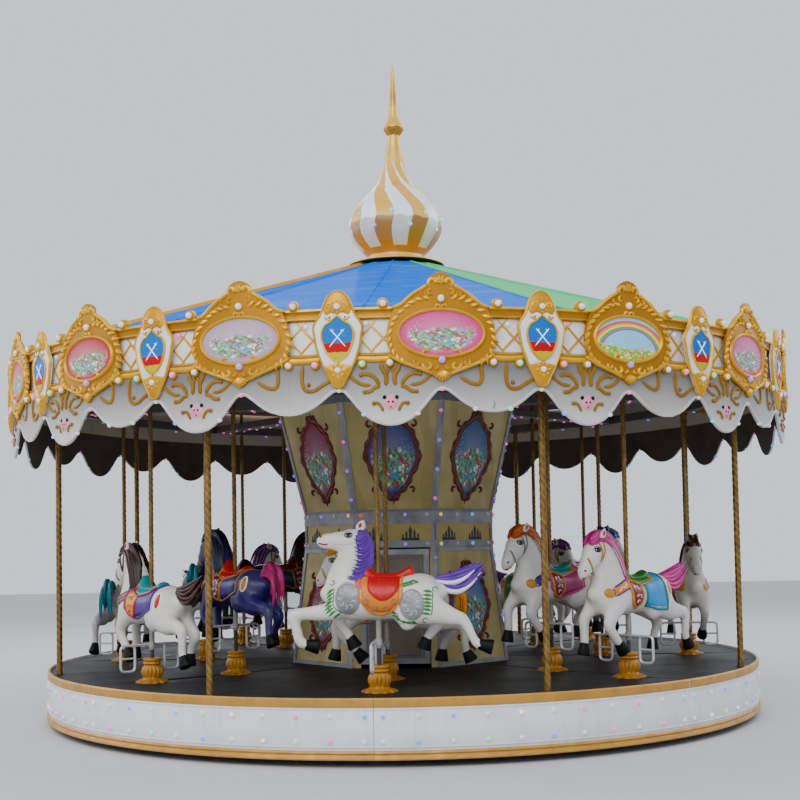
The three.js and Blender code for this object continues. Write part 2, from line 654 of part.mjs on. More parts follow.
// The footrest: a crossbar ahead of the pole in a clamp, with a hanging loop at each end.
function footrest(top) {
  const barBottom = top - FOOT_TUBE;
  const bottom = top - FOOT_LOOP_HEIGHT;
  const shape = new THREE.Shape([
    [-FOOT_LOOP_OUTER, bottom], [-FOOT_LOOP_INNER, bottom], [-FOOT_LOOP_INNER, barBottom],
    [FOOT_LOOP_INNER, barBottom], [FOOT_LOOP_INNER, bottom], [FOOT_LOOP_OUTER, bottom],
    [FOOT_LOOP_OUTER, top], [-FOOT_LOOP_OUTER, top],
  ].map(([y, z]) => new THREE.Vector2(y, z)));
  const holeHeight = (FOOT_LOOP_HEIGHT - 3 * FOOT_TUBE) / 2;
  for (const side of [-1, 1]) {
    const near = side * (FOOT_LOOP_INNER + FOOT_TUBE);
    const far = side * (FOOT_LOOP_OUTER - FOOT_TUBE);
    for (const level of [bottom + FOOT_TUBE, barBottom - holeHeight]) {
      shape.holes.push(new THREE.Path([
        [near, level], [far, level], [far, level + holeHeight], [near, level + holeHeight],
      ].map(([y, z]) => new THREE.Vector2(y, z))));
    }
  }
  const loops = new THREE.ExtrudeGeometry(shape, { depth: FOOT_TUBE, bevelEnabled: false })
    .rotateX(Math.PI / 2).rotateZ(Math.PI / 2).translate(-FOOT_BAR_AHEAD - FOOT_TUBE / 2, 0, 0);
  const clamp = new THREE.BoxGeometry(FOOT_BAR_AHEAD, FOOT_CLAMP_WIDTH, FOOT_TUBE)
    .translate(-FOOT_BAR_AHEAD / 2, 0, top - FOOT_TUBE / 2);
  return [loops, clamp];
}

// A galloping horse on its pole, facing -X, with the pole on the vertical axis and its lowest
// hoof at height 0. The pole's ends are given in the horse's own heights.
function horse(mould, poleBottom, poleTop) {
  const pieces = [limb(mould.trunk, 6), limb(mould.neck, 5), limb(mould.tail, 4)];
  if (mould.head) pieces.push(limb(mould.head, 5));
  for (const stations of mould.legs) pieces.push(limb(stations, 4));
  const [, , bodyHeight] = mould.trunk[1];
  pieces.push(bar(POLE_LOW_RADIUS, poleBottom, bodyHeight - 60, POLE_SIDES));
  pieces.push(bar(POLE_HIGH_RADIUS, bodyHeight - 20, poleTop, POLE_SIDES));
  return fuse([...pieces, ...footrest(mould.footrestTop)]);
}

addPart("ground_frame", groundFrame(), materials.frameSteel);
addPart("deck", deck(), materials.deckGrey);

for (let k = 0; k < SECTORS; k++) {
  const seamAngle = ROW_ANGLE + k * SECTOR;
  if (k === HALF_PANEL_SECTOR) {
    addPart("rim_half_panel_a", rimPanel(SECTOR / 2), materials.rimWhite, seamAngle);
    addPart("rim_half_panel_b", rimPanel(SECTOR / 2), materials.rimWhite, seamAngle + SECTOR / 2);
  } else {
    addPart(`rim_panel_${k + 1}`, rimPanel(SECTOR), materials.rimWhite, seamAngle);
  }
}

for (let k = 0; k < SECTORS; k++) {
  addPart(`post_${k + 1}`, post(), materials.ropeBrass, POST_ANGLE + k * SECTOR);
}

addPart("drum_lower", lowerDrum(), materials.drumOlive, ROW_ANGLE);
addPart("drum_door", drumDoor(), materials.railSilver, ROW_ANGLE);
addPart("drum_waist", drumWaist(), materials.railSilver, ROW_ANGLE);
addPart("drum_upper", upperDrum(), materials.drumOlive, ROW_ANGLE);
addPart("canopy_frame", canopyFrame(), materials.railSilver);

for (let k = 0; k < SECTORS; k++) {
  const angle = CORNICE_ANGLE + k * SECTOR;
  addPart(`cornice_${k + 1}`, corniceSegment(), materials.corniceGold, angle);
  addPart(`drip_panel_${k + 1}`, dripSegment(), materials.dripWhite, angle);
}

addPart("roof", roof(), materials.roofBlue);
addPart("onion_dome", onionDome(), materials.domeGold);
addPart("spire", spire(), materials.domeGold);

for (let k = 0; k < SECTORS; k++) {
  const row = new THREE.Group();
  row.rotation.z = radians(ROW_ANGLE + k * SECTOR);
  carousel.add(row);
  const places = [
    ["outer_horse", OUTER_RING, OUTER_LIFT[k]],
    ["inner_horse", INNER_RING, INNER_LIFT[k]],
  ];
  for (const [name, ring, lift] of places) {
    const mould = name === "outer_horse" && k === 0 ? REACHING : PRANCING;
    const poleBottom = PEDESTAL_TOP - POLE_DEPTH_IN_PEDESTAL - HOOF_HEIGHT - mould.poleDrop;
    const poleTop = POLE_TOP - HOOF_HEIGHT - mould.poleDrop;
    const body = horse(mould, poleBottom, poleTop);
    const mesh = addPart(`${name}_${k + 1}`, body, materials.horseWhite, 0, row);
    mesh.position.set(0, -ring, HOOF_HEIGHT + lift);
  }
}

export default carousel;
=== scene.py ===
# A small fairground carousel, dressed for its picture: two rings of galloping horses under a
# gilded cornice, a painted drum, a pyramid roof in coloured quarters and a striped onion dome.
import math
from types import SimpleNamespace

import bmesh
import bpy
import numpy as np
from mathutils import Matrix, Vector
from mathutils.bvhtree import BVHTree


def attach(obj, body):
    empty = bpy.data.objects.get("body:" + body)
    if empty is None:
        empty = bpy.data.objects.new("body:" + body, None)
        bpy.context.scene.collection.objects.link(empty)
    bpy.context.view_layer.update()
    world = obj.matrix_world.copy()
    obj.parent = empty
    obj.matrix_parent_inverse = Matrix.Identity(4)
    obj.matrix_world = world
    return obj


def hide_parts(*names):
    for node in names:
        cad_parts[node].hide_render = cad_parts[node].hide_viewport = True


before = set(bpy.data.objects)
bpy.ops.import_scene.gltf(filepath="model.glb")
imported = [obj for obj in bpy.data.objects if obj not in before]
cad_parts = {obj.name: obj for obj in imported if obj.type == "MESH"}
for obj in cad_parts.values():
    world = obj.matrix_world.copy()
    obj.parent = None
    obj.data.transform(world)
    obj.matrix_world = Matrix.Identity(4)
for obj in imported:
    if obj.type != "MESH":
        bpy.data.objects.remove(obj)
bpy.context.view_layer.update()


# Camera. A standing viewer's height, a little over 10 m from the axis, with the horizon low in
# the picture. Lens and place were worked out from the ellipses of the deck's rim and the cornice.
CAMERA_PLACE = (0.0, -10.6327, 1.3969)
CAMERA_PITCH = math.radians(2.572)
CAMERA_ROLL = math.radians(-1.032)
FOCAL_PIXELS = 1204.56
PICTURE_PIXELS = 800.0
HORIZON_DROP_PIXELS = 91.82
SENSOR = 36.0
camera_data = bpy.data.cameras.new("camera")
camera_data.sensor_width = SENSOR
camera_data.lens = FOCAL_PIXELS / PICTURE_PIXELS * SENSOR
camera_data.shift_y = HORIZON_DROP_PIXELS / PICTURE_PIXELS
camera = bpy.data.objects.new("camera", camera_data)
camera.location = CAMERA_PLACE
tilt = Matrix.Rotation(math.pi / 2 + CAMERA_PITCH, 3, "X")
camera.rotation_euler = (tilt @ Matrix.Rotation(CAMERA_ROLL, 3, "Z")).to_euler()
bpy.context.scene.collection.objects.link(camera)
bpy.context.scene.camera = camera


# Studio. A bright, even overcast sky, one broad lamp high in front and three round the back,
# over a plain pale floor.
def colour(code):
    """The linear colour of a six-digit web code: each share is raised out of its gamma."""
    shares = [int(code[i:i + 2], 16) / 255.0 for i in (0, 2, 4)]
    return tuple(((s + 0.055) / 1.055) ** 2.4 for s in shares) + (1.0,)


def area_light(name, place, size, energy):
    """A square soft light at a place, turned to shine on the middle of the carousel."""
    data = bpy.data.lights.new(name, "AREA")
    data.size = size
    data.energy = energy
    lamp = bpy.data.objects.new(name, data)
    lamp.location = place
    to_middle = Vector((0.0, 0.0, 1.8)) - Vector(place)
    lamp.rotation_euler = to_middle.to_track_quat("-Z", "Y").to_euler()
    bpy.context.scene.collection.objects.link(lamp)


world = bpy.data.worlds.new("studio")
bpy.context.scene.world = world
world.use_nodes = True
world.node_tree.nodes["Background"].inputs["Color"].default_value = colour("d9dee6")
world.node_tree.nodes["Background"].inputs["Strength"].default_value = 1.3
area_light("front_light", (-3.0, -11.0, 8.5), 9.0, 1050.0)
area_light("left_light", (-11.0, 2.0, 7.0), 8.0, 520.0)
area_light("right_light", (10.0, 3.0, 8.0), 8.0, 520.0)
area_light("back_light", (0.0, 11.0, 9.0), 8.0, 400.0)


def node(tree, kind, inputs=None, **settings):
    """Adds a shader node with its settings; inputs are plain values or other nodes' sockets."""
    made = tree.nodes.new("ShaderNode" + kind)
    for key, value in settings.items():
        setattr(made, key, value)
    for key, value in (inputs or {}).items():
        if isinstance(value, bpy.types.NodeSocket):
            tree.links.new(value, made.inputs[key])
        else:
            made.inputs[key].default_value = value
    return made


def maths(tree, operation, *values):
    """One sum on numbers that change over the surface."""
    return node(tree, "Math", dict(enumerate(values)), operation=operation).outputs[0]


def times(tree, first, second):
    """The product of two numbers that change over the surface."""
    return maths(tree, "MULTIPLY", first, second)


def level_of(tree, vector, axis="Z"):
    """One of a place's three numbers."""
    return node(tree, "SeparateXYZ", {0: vector}).outputs[axis]


def mixed(tree, share, low, high, blend="MIX"):
    """A colour between two, by a share from 0 to 1."""
    made = node(tree, "Mix", {0: share, 6: low, 7: high}, data_type="RGBA", blend_type=blend)
    return made.outputs[2]


def noise(tree, vector, scale, detail=3.0, roughness=0.55):
    """Cloudy variation from 0 to 1."""
    return node(
        tree, "TexNoise",
        {"Vector": vector, "Scale": scale, "Detail": detail, "Roughness": roughness}).outputs["Fac"]


def spread(tree, value, low, high, to_low=0.0, to_high=1.0):
    """A value's range from low to high, spread over another range and held at its ends."""
    return node(tree, "MapRange",
                {"Value": value, "From Min": low, "From Max": high, "To Min": to_low,
                 "To Max": to_high}).outputs[0]


def stretched(tree, vector, factors):
    """A place in space, stretched along each axis."""
    return node(tree, "Mapping", {"Vector": vector, "Scale": factors}).outputs[0]


def effect(name, inputs, outputs):
    """An empty shader node group: inputs are (name, kind, default), outputs are (name, kind)."""
    group = bpy.data.node_groups.new(name, "ShaderNodeTree")
    for label, kind, default in inputs:
        socket = group.interface.new_socket(label, in_out="INPUT", socket_type="NodeSocket" + kind)
        if default is not None:
            socket.default_value = default
    for label, kind in outputs:
        group.interface.new_socket(label, in_out="OUTPUT", socket_type="NodeSocket" + kind)
    source = group.nodes.new("NodeGroupInput")
    sink = group.nodes.new("NodeGroupOutput")
    return group, source.outputs, sink.inputs


def placed(tree, group, **inputs):
    """A shared effect placed in a material, with that material's own values."""
    made = tree.nodes.new("ShaderNodeGroup")
    made.node_tree = group
    for key, value in inputs.items():
        if isinstance(value, bpy.types.NodeSocket):
            tree.links.new(value, made.inputs[key])
        else:
            made.inputs[key].default_value = value
    return made.outputs


def coat(name, **sockets):
    """A new material with the shader's values that are the same all over, and its nodes."""
    material = bpy.data.materials.new(name)
    material.use_nodes = True
    tree = material.node_tree
    shader = tree.nodes["Principled BSDF"]
    for key, value in sockets.items():
        shader.inputs[key.replace("_", " ")].default_value = value
    places = node(tree, "TexCoord")
    tint = node(tree, "Attribute", attribute_name="tint").outputs["Color"]
    return SimpleNamespace(
        material=material, tree=tree, shader=shader, tint=tint, place=places.outputs["Object"],
        uv=places.outputs["UV"]), tree


def feed(look, height=None, bump=0.2, depth=0.002, **sockets):
    """Links values that change over the surface to the shader, and a height by way of a bump."""
    for key, value in sockets.items():
        look.tree.links.new(value, look.shader.inputs[key.replace("_", " ")])
    if height is not None:
        normal = node(look.tree, "Bump", {"Strength": bump, "Distance": depth, "Height": height})
        look.tree.links.new(normal.outputs[0], look.shader.inputs["Normal"])
    return look.material


# Dust and grime lie in clouds and fine specks, and leave the gloss uneven.
grime, grime_in, grime_out = effect(
    "Grime", [("Vector", "Vector", None), ("Color", "Color", (0.8, 0.8, 0.8, 1.0)),
              ("Dirt", "Color", (0.2, 0.17, 0.13, 1.0)), ("Amount", "Float", 0.4),
              ("Scale", "Float", 3.0), ("Gloss", "Float", 0.35)],
    [("Color", "Color"), ("Roughness", "Float"), ("Height", "Float")])
clouds = noise(grime, grime_in["Vector"], grime_in["Scale"], 6.0, 0.62)
specks = noise(grime, grime_in["Vector"], times(grime, grime_in["Scale"], 22.0))
cover = times(grime, spread(grime, clouds, 0.46, 0.75), grime_in["Amount"])
specked = times(grime, spread(grime, specks, 0.62, 0.78), grime_in["Amount"])
dirty = maths(grime, "ADD", cover, times(grime, specked, 0.4))
dirty = maths(grime, "MINIMUM", dirty, 1.0)
uneven = times(grime, maths(grime, "ADD", dirty, clouds), 0.22)
grain = maths(grime, "ADD", times(grime, clouds, 0.7), times(grime, specks, 0.3))
grime.links.new(mixed(grime, dirty, grime_in["Color"], grime_in["Dirt"]), grime_out["Color"])
grime.links.new(maths(grime, "ADD", grime_in["Gloss"], uneven), grime_out["Roughness"])
grime.links.new(grain, grime_out["Height"])

# Rain has washed dust down the upright faces, so these marks are long and thin.
streaks, streaks_in, streaks_out = effect(
    "Rain streaks", [("Vector", "Vector", None), ("Color", "Color", (0.8, 0.8, 0.8, 1.0)),
                     ("Stain", "Color", (0.3, 0.26, 0.2, 1.0)), ("Amount", "Float", 0.3),
                     ("Width", "Float", 14.0)], [("Color", "Color")])
long_marks = noise(
    streaks, stretched(streaks, streaks_in["Vector"], (1.0, 1.0, 0.09)), streaks_in["Width"], 4.0,
    0.6)
broken = noise(streaks, streaks_in["Vector"], 2.2, 2.0)
washed = times(streaks, spread(streaks, long_marks, 0.5, 0.72), spread(streaks, broken, 0.35, 0.65))
washed = times(streaks, washed, streaks_in["Amount"])
streaks.links.new(
    mixed(streaks, washed, streaks_in["Color"], streaks_in["Stain"]), streaks_out["Color"])


def grimed(look, base, dirt, amount=0.4, scale=4.0, gloss=0.35, bump=0.2, depth=0.002, relief=None):
    """The look's material with grime over a base colour; a relief is added to the grime's own."""
    out = placed(look.tree, grime, Vector=look.place, Color=base, Dirt=colour(dirt), Amount=amount,
                 Scale=scale, Gloss=gloss)
    height = out["Height"]
    if relief is not None:
        height = maths(look.tree, "ADD", relief, height)
    return feed(look, height, bump, depth, Base_Color=out["Color"], Roughness=out["Roughness"])


def paint(name, base, *grime_values, use_tint=False, **sockets):
    """A paint with grime over it; with use_tint its colour is multiplied by the piece's tint."""
    look, tree = coat(name, **sockets)
    base = colour(base)
    if use_tint:
        base = mixed(tree, 1.0, look.tint, base, "MULTIPLY")
    return grimed(look, base, *grime_values)


FLOOR_REACH = 30.0
floor_mesh = bpy.data.meshes.new("floor")
floor_corners = [
    (x * FLOOR_REACH, y * FLOOR_REACH, 0.0) for x, y in ((-1, -1), (1, -1), (1, 1), (-1, 1))]
floor_mesh.from_pydata(floor_corners, [], [(0, 1, 2, 3)])
floor = bpy.data.objects.new("floor", floor_mesh)
bpy.context.scene.collection.objects.link(floor)
floor_mesh.materials.append(paint("floor", "c3c4c6", "b9b9b8", 0.5, 0.7, 0.75))


# Ground frame. A welded steel hub with eight arms on feet, under the deck and mostly out of
# sight, in dark grey paint that has gathered yard dust.
STEEL_PAINT = paint("frame_paint", "3b3c3e", "7a7266", 0.7, 2.5, 0.5, Metallic=0.3)
ground_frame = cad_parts["ground_frame"]
ground_frame.data.materials.clear()
ground_frame.data.materials.append(STEEL_PAINT)


# Deck. Painted sheet steel with a fine raised tread, laid in wedges with butt joints on a round
# plate, with the hub that turns on the spindle below it.
TURN = math.tau
SECTORS = 8
SECTOR = TURN / SECTORS
ROW_ANGLE = math.radians(-3.7)
POST_ANGLE = ROW_ANGLE + SECTOR / 2
DECK_RADIUS, DECK_TOP, DECK_BOTTOM = 2.975, 0.42, 0.36
DECK_SIDES = 128
SHEETS = 16
OUTER_RING, INNER_RING = 2.48, 1.74
POLE_BORE = 0.0156
WHITE = (1.0, 1.0, 1.0)


class Shape:
    """Collects four-cornered faces into one mesh, with a slot, a tint and a UV place for each."""

    def __init__(self):
        self.parts = []
        self.count = 0

    def add(self, points, faces, slot=0, tint=WHITE, uv=None):
        """Adds a surface. The tint is one colour or one for each point."""
        points = np.asarray(points, float).reshape(-1, 3)
        faces = np.asarray(faces, int).reshape(-1, 4)
        tint = np.broadcast_to(np.asarray(tint, float)[..., :3], (len(points), 3))
        uv = np.zeros((len(points), 2)) if uv is None else np.asarray(uv, float).reshape(-1, 2)
        self.parts.append((points, faces + self.count, np.broadcast_to(slot, len(faces)), tint, uv))
        self.count += len(points)
        return self

    def whole(self):
        """All surfaces as five arrays."""
        return [np.concatenate(arrays) for arrays in zip(*self.parts)]

    def merge(self, other, move=None):
        """Adds another shape's surfaces, moved by a function of its points."""
        points, faces, slots, tint, uv = other.whole()
        return self.add(points if move is None else move(points), faces, slots, tint, uv)

    def gather(self, others, move=None):
        """Adds several shapes' surfaces, moved by one function."""
        for other in others:
            self.merge(other, move)
        return self

    def mesh(self, name, materials, sharp=40.0):
        """The mesh: equal points joined, faces turned outwards and shaded smooth but for folds."""
        points, faces, slots, tint, uv = self.whole()
        mesh = bpy.data.meshes.new(name)
        mesh.vertices.add(len(points))
        mesh.vertices.foreach_set("co", points.ravel())
        mesh.loops.add(faces.size)
        mesh.loops.foreach_set("vertex_index", faces.ravel())
        mesh.polygons.add(len(faces))
        mesh.polygons.foreach_set("loop_start", np.arange(0, faces.size, 4))
        mesh.polygons.foreach_set("material_index", slots)
        corner = mesh.attributes.new("tint", "FLOAT_COLOR", "CORNER")
        rgba = np.concatenate([tint, np.ones((len(tint), 1))], 1)
        corner.data.foreach_set("color", rgba[faces.ravel()].ravel())
        layer = mesh.uv_layers.new(name="UVMap")
        layer.data.foreach_set("uv", uv[faces.ravel()].ravel())
        mesh.update(calc_edges=True)
        work = bmesh.new()
        work.from_mesh(mesh)
        bmesh.ops.remove_doubles(work, verts=work.verts, dist=2e-5)
        bmesh.ops.recalc_face_normals(work, faces=work.faces)
        work.to_mesh(mesh)
        work.free()
        for material in materials:
            mesh.materials.append(material)
        mesh.shade_smooth()
        if sharp is not None:
            mesh.set_sharp_from_angle(angle=math.radians(sharp))
        return mesh


def show(mesh, body, slot, *replaced):
    """A finished piece in the scene, with the body it rides on and the nodes it stands for."""
    piece = bpy.data.objects.new(mesh.name, mesh)
    bpy.context.scene.collection.objects.link(piece)
    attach(piece, body)
    if replaced:
        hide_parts(*replaced)
    return piece


def grid(rows, columns, loop_rows=False, loop_columns=False):
    """Faces over points stored row by row, closed on itself where it loops."""
    r = np.arange(rows if loop_rows else rows - 1)[:, None]
    c = np.arange(columns if loop_columns else columns - 1)[None, :]
    near, far = r * columns, (r + 1) % rows * columns
    right = (c + 1) % columns
    return np.stack([near + c, near + right, far + right, far + c], -1).reshape(-1, 4)


def around(radius, angle, height):
    """Points at a radius, an angle from the front towards +X, and a height."""
    radius, angle, height = np.broadcast_arrays(radius, angle, height)
    return np.stack([radius * np.sin(angle), -radius * np.cos(angle), height], -1)


def standing(angle):
    """Turns points given across, outwards and up to face an angle round the axis."""
    across, outwards = around(1.0, angle + TURN / 4, 0.0), around(1.0, angle, 0.0)

    def place(points):
        return points[:, :1] * across + points[:, 1:2] * outwards + points[:, 2:] * [0.0, 0.0, 1.0]
    return place


def turned(profile, sides, start=0.0):
    """A profile of radius and height pairs carried all the way round the axis."""
    profile = np.asarray(profile, float)
    angles = start + TURN * np.arange(sides) / sides
    points = around(profile[:, 0][None], angles[:, None], profile[:, 1][None])
    return points, grid(sides, len(profile), loop_rows=True)


look, tree = coat("tread_plate", Specular_IOR_Level=0.12)
tread = node(tree, "TexVoronoi", {"Vector": look.place, "Scale": 55.0}).outputs["Distance"]
worn = spread(tree, noise(tree, look.place, 1.3, 6.0, 0.6), 0.35, 0.68)
grey = mixed(tree, worn, colour("151517"), colour("2a2928"))
TREAD_PLATE = grimed(look, grey, "3c3934", 0.4, 2.0, 0.4, 0.3, 0.0012, tread)
JOINT_DARK = paint("joint_dark", "1d1c1b", "4a443c", 0.5, 6.0, 0.7)


def bored(mesh, bores):
    """The mesh with upright round holes cut through it, by a Boolean with the bores' mesh."""
    name = mesh.name
    plate, tool = (bpy.data.objects.new(part.name, part) for part in (mesh, bores))
    for part in (plate, tool):
        bpy.context.scene.collection.objects.link(part)
    cut = plate.modifiers.new("bores", "BOOLEAN")
    cut.operation, cut.solver, cut.object = "DIFFERENCE", "EXACT", tool
    bpy.context.view_layer.update()
    drilled = bpy.data.meshes.new_from_object(
        plate.evaluated_get(bpy.context.evaluated_depsgraph_get()))
    for part in (plate, tool):
        bpy.data.objects.remove(part)
    for spare in (mesh, bores):
        bpy.data.meshes.remove(spare)
    drilled.name = name
    return drilled


def in_each_place(points, faces):
    """The same surface at each of the sixteen horses' places, as one shape."""
    shape = Shape()
    for k in range(SECTORS):
        for ring in (OUTER_RING, INNER_RING):
            shape.add(points + around(ring, ROW_ANGLE + k * SECTOR, 0.0), faces)
    return shape


DECK_FACE = DECK_RADIUS - 0.001
DECK_CHAMFER = 0.006
HUB_BORE, HUB_RADIUS, HUB_BOTTOM, HUB_CEILING = 0.0603, 0.16, 0.1184, 0.34
deck = Shape().add(*turned([
    (0.0, HUB_CEILING), (HUB_BORE, HUB_CEILING), (HUB_BORE, HUB_BOTTOM), (HUB_RADIUS, HUB_BOTTOM),
    (HUB_RADIUS, DECK_BOTTOM), (DECK_FACE, DECK_BOTTOM), (DECK_FACE, DECK_TOP - DECK_CHAMFER),
    (DECK_FACE - DECK_CHAMFER, DECK_TOP), (0.0, DECK_TOP)], DECK_SIDES, ROW_ANGLE))
bores = in_each_place(*turned(
    [(0.0, DECK_BOTTOM - 0.02), (POLE_BORE, DECK_BOTTOM - 0.02), (POLE_BORE, DECK_TOP + 0.02),
     (0.0, DECK_TOP + 0.02)], 16))
show(bored(deck.mesh("deck_plate", [TREAD_PLATE], 30.0), bores.mesh("bores", [TREAD_PLATE])),
     "platform", "deck_plate", "deck")

# The joints between the sheets: thin dark strips, broken off round the pedestals.
SEAM_HALF, SEAM_SUNK, SEAM_PROUD = 0.0025, -0.004, 0.0006
SEAM_START, SEAM_END, STAND_GAP = 0.96, DECK_FACE - DECK_CHAMFER, 0.08
BOX_FACES = [[4, 5, 6, 7], [0, 3, 2, 1], [0, 1, 5, 4], [1, 2, 6, 5], [2, 3, 7, 6], [3, 0, 4, 7]]
seams = Shape()
for i in range(SHEETS):
    seam = ROW_ANGLE + TURN / SHEETS * i
    along, across = around(1.0, seam, 0.0), around(1.0, seam + TURN / 4, 0.0)
    breaks = [SEAM_START, SEAM_END]
    if i % 2 == 0:
        breaks[1:1] = [
            ring + side * STAND_GAP for ring in (INNER_RING, OUTER_RING) for side in (-1, 1)]
    for near, far in zip(breaks[::2], breaks[1::2]):
        corners = [(r * along + s * SEAM_HALF * across + [0, 0, DECK_TOP + z])
                   for z in (SEAM_SUNK, SEAM_PROUD)
                   for r, s in ((near, -1), (near, 1), (far, 1), (far, -1))]
        seams.add(corners, BOX_FACES)
show(seams.mesh("deck_seams", [JOINT_DARK]), "platform", "deck_plate")


# Pedestals. Cast lotus stands painted yellow-gold, bolted down under each horse: a spread foot
# of petals, a fluted bulb and a ribbed collar that guides the pole.
def smooth_curve(points, count):
    """A smooth curve through points: cubic stretches whose slope follows their neighbours."""
    points = np.asarray(points, float)
    ends = 2 * points[:1] - points[1:2], 2 * points[-1:] - points[-2:-1]
    points = np.concatenate([ends[0], points, ends[1]])
    t = np.linspace(0, len(points) - 3, count)
    i = np.minimum(t.astype(int), len(points) - 4)
    f = (t - i)[:, None]
    a, b, c, d = (points[i + k] for k in range(4))
    return 0.5 * (2 * b + (c - a) * f + (2 * a - 5 * b + 4 * c - d) * f ** 2
                  + (3 * b - a - 3 * c + d) * f ** 3)


def lotus():
    """The stand at the origin: a turned profile whose radius swells in petals and flutes, each
    the absolute cosine of a multiple of the angle, strongest at the foot and the bulb."""
    profile = smooth_curve(
        [(0.124, 0.0), (0.125, 0.008), (0.098, 0.02), (0.068, 0.03), (0.074, 0.05), (0.084, 0.078),
         (0.078, 0.106), (0.064, 0.122), (0.056, 0.13), (0.067, 0.137), (0.067, 0.147),
         (0.058, 0.153), (0.066, 0.16), (0.068, 0.174), (0.06, 0.18)], 22)
    sides = 56
    angle = TURN * np.arange(sides) / sides
    rise = profile[:, 1][None]
    foot = np.exp(-((rise - 0.012) / 0.014) ** 2)
    bulb = np.exp(-((rise - 0.08) / 0.034) ** 2)
    collar = np.exp(-((rise - 0.167) / 0.012) ** 2)
    petals = np.abs(np.cos(6 * angle))[:, None] ** 0.6
    flutes = np.abs(np.cos(7 * angle))[:, None] ** 0.6
    beads = 0.5 + 0.5 * np.cos(TURN * rise / 0.014)
    radius = profile[:, 0][None] * (
        1 + 0.24 * foot * (petals - 1) + 0.08 * collar * (petals - 1)
        + 0.24 * bulb * (flutes * (0.75 + 0.25 * beads) - 1))
    rows = np.concatenate([radius, np.full((sides, 2), POLE_BORE)], 1)
    height = np.concatenate([profile[:, 1], [0.18, 0.0]]) + DECK_TOP
    return around(rows, angle[:, None], height[None]), grid(sides, rows.shape[1], loop_rows=True)


look, tree = coat("pedestal_gold", Metallic=0.1)
height = level_of(tree, look.place)
# Painted shade: the gold darkens towards the foot, next to the deck.
foot_shade = times(tree, spread(tree, height, 0.42, 0.47, 1.0, 0.0), 0.6)
gold = mixed(tree, foot_shade, colour("b87c10"), colour("6f4a0c"))
PEDESTAL_GOLD = grimed(look, gold, "5b4217", 0.5, 9.0, 0.3, 0.4)
show(in_each_place(*lotus()).mesh("pedestals", [PEDESTAL_GOLD], 50.0), "platform", "deck_plate")


# Rim. Moulded white panels round the deck, one to each sector, with a raised bead, a gold kick
# band on screws above, a rippled gold trim below and two rows of round lamps.
RIM_RADIUS, RIM_TOP, RIM_BOTTOM = 3.0, 0.44, 0.05
RIM_BACK = 2.9755
FIELD, BEAD, BAND = 2.986, 2.993, 2.996
BAND_BOTTOM, TRIM_TOP = 0.382, 0.11
LAMP_ROWS = (0.324, 0.165)
LAMP_PITCH = math.radians(4.275)
LAMP_START = math.radians(1.12)
LAMP_COLUMNS = 11


def rgb(code):
    """A paint colour as three numbers."""
    return np.array(colour(code)[:3])


TINTS = {name: rgb(code) for name, code in dict(
    pink="ff5fbe", blue="5f8cff", cyan="45cdff", green="5cf59a", white="fff0d2", pearl="c9c6d6",
    violet="9a63ff", red="ff2a2a", yellow="ffd75a", grey="77777c", plain="ffffff").items()}
TINTS["screw"] = np.full(3, 0.02)

look, tree = coat("lamp_glass", Roughness=0.12, Coat_Weight=0.6, Emission_Strength=0.55)
# Painted reflection: the glass turns near-white where it is seen edge-on.
edge_reflection = node(tree, "LayerWeight", {"Blend": 0.25}).outputs["Facing"]
glass = mixed(tree, edge_reflection, look.tint, colour("f4f4f8"))
LAMP_GLASS = feed(look, Base_Color=glass, Emission_Color=look.tint)


def lamps(shape, slot, places, outwards, radius, names="plain", flat=0.85):
    """Adds round lamps or knobs in named tints, one at each place along its outward direction:
    rings of a ball, each ring's radius the cosine of its latitude and its lift the sine, a
    little flattened."""
    places, outwards = np.atleast_2d(places), np.atleast_2d(outwards)
    outwards = np.broadcast_to(outwards, places.shape)
    outwards = outwards / np.linalg.norm(outwards, axis=1, keepdims=True)
    helper = np.where(np.abs(outwards[:, 2:3]) > 0.9, [[1.0, 0.0, 0.0]], [[0.0, 0.0, 1.0]])
    across = np.cross(helper, outwards)
    across /= np.linalg.norm(across, axis=1, keepdims=True)
    up = np.cross(outwards, across)
    sides, latitude = 8, np.radians([-90.0, -15.0, 22.0, 56.0, 90.0])
    angle = TURN * np.arange(sides) / sides
    a = (np.cos(latitude)[:, None] * np.cos(angle)).reshape(1, -1, 1)
    b = (np.cos(latitude)[:, None] * np.sin(angle)).reshape(1, -1, 1)
    c = (np.sin(latitude)[:, None] * flat + 0 * angle).reshape(1, -1, 1)
    local = radius * (a * across[:, None] + b * up[:, None] + c * outwards[:, None])
    each = a.shape[1]
    faces = (grid(len(latitude), sides, loop_columns=True)[None]
             + each * np.arange(len(places))[:, None, None])
    tints = np.array([TINTS[name] for name in np.atleast_1d(names)])
    tints = np.repeat(np.broadcast_to(tints, places.shape), each, 0)
    return shape.add(places[:, None] + local, faces, slot, tints)


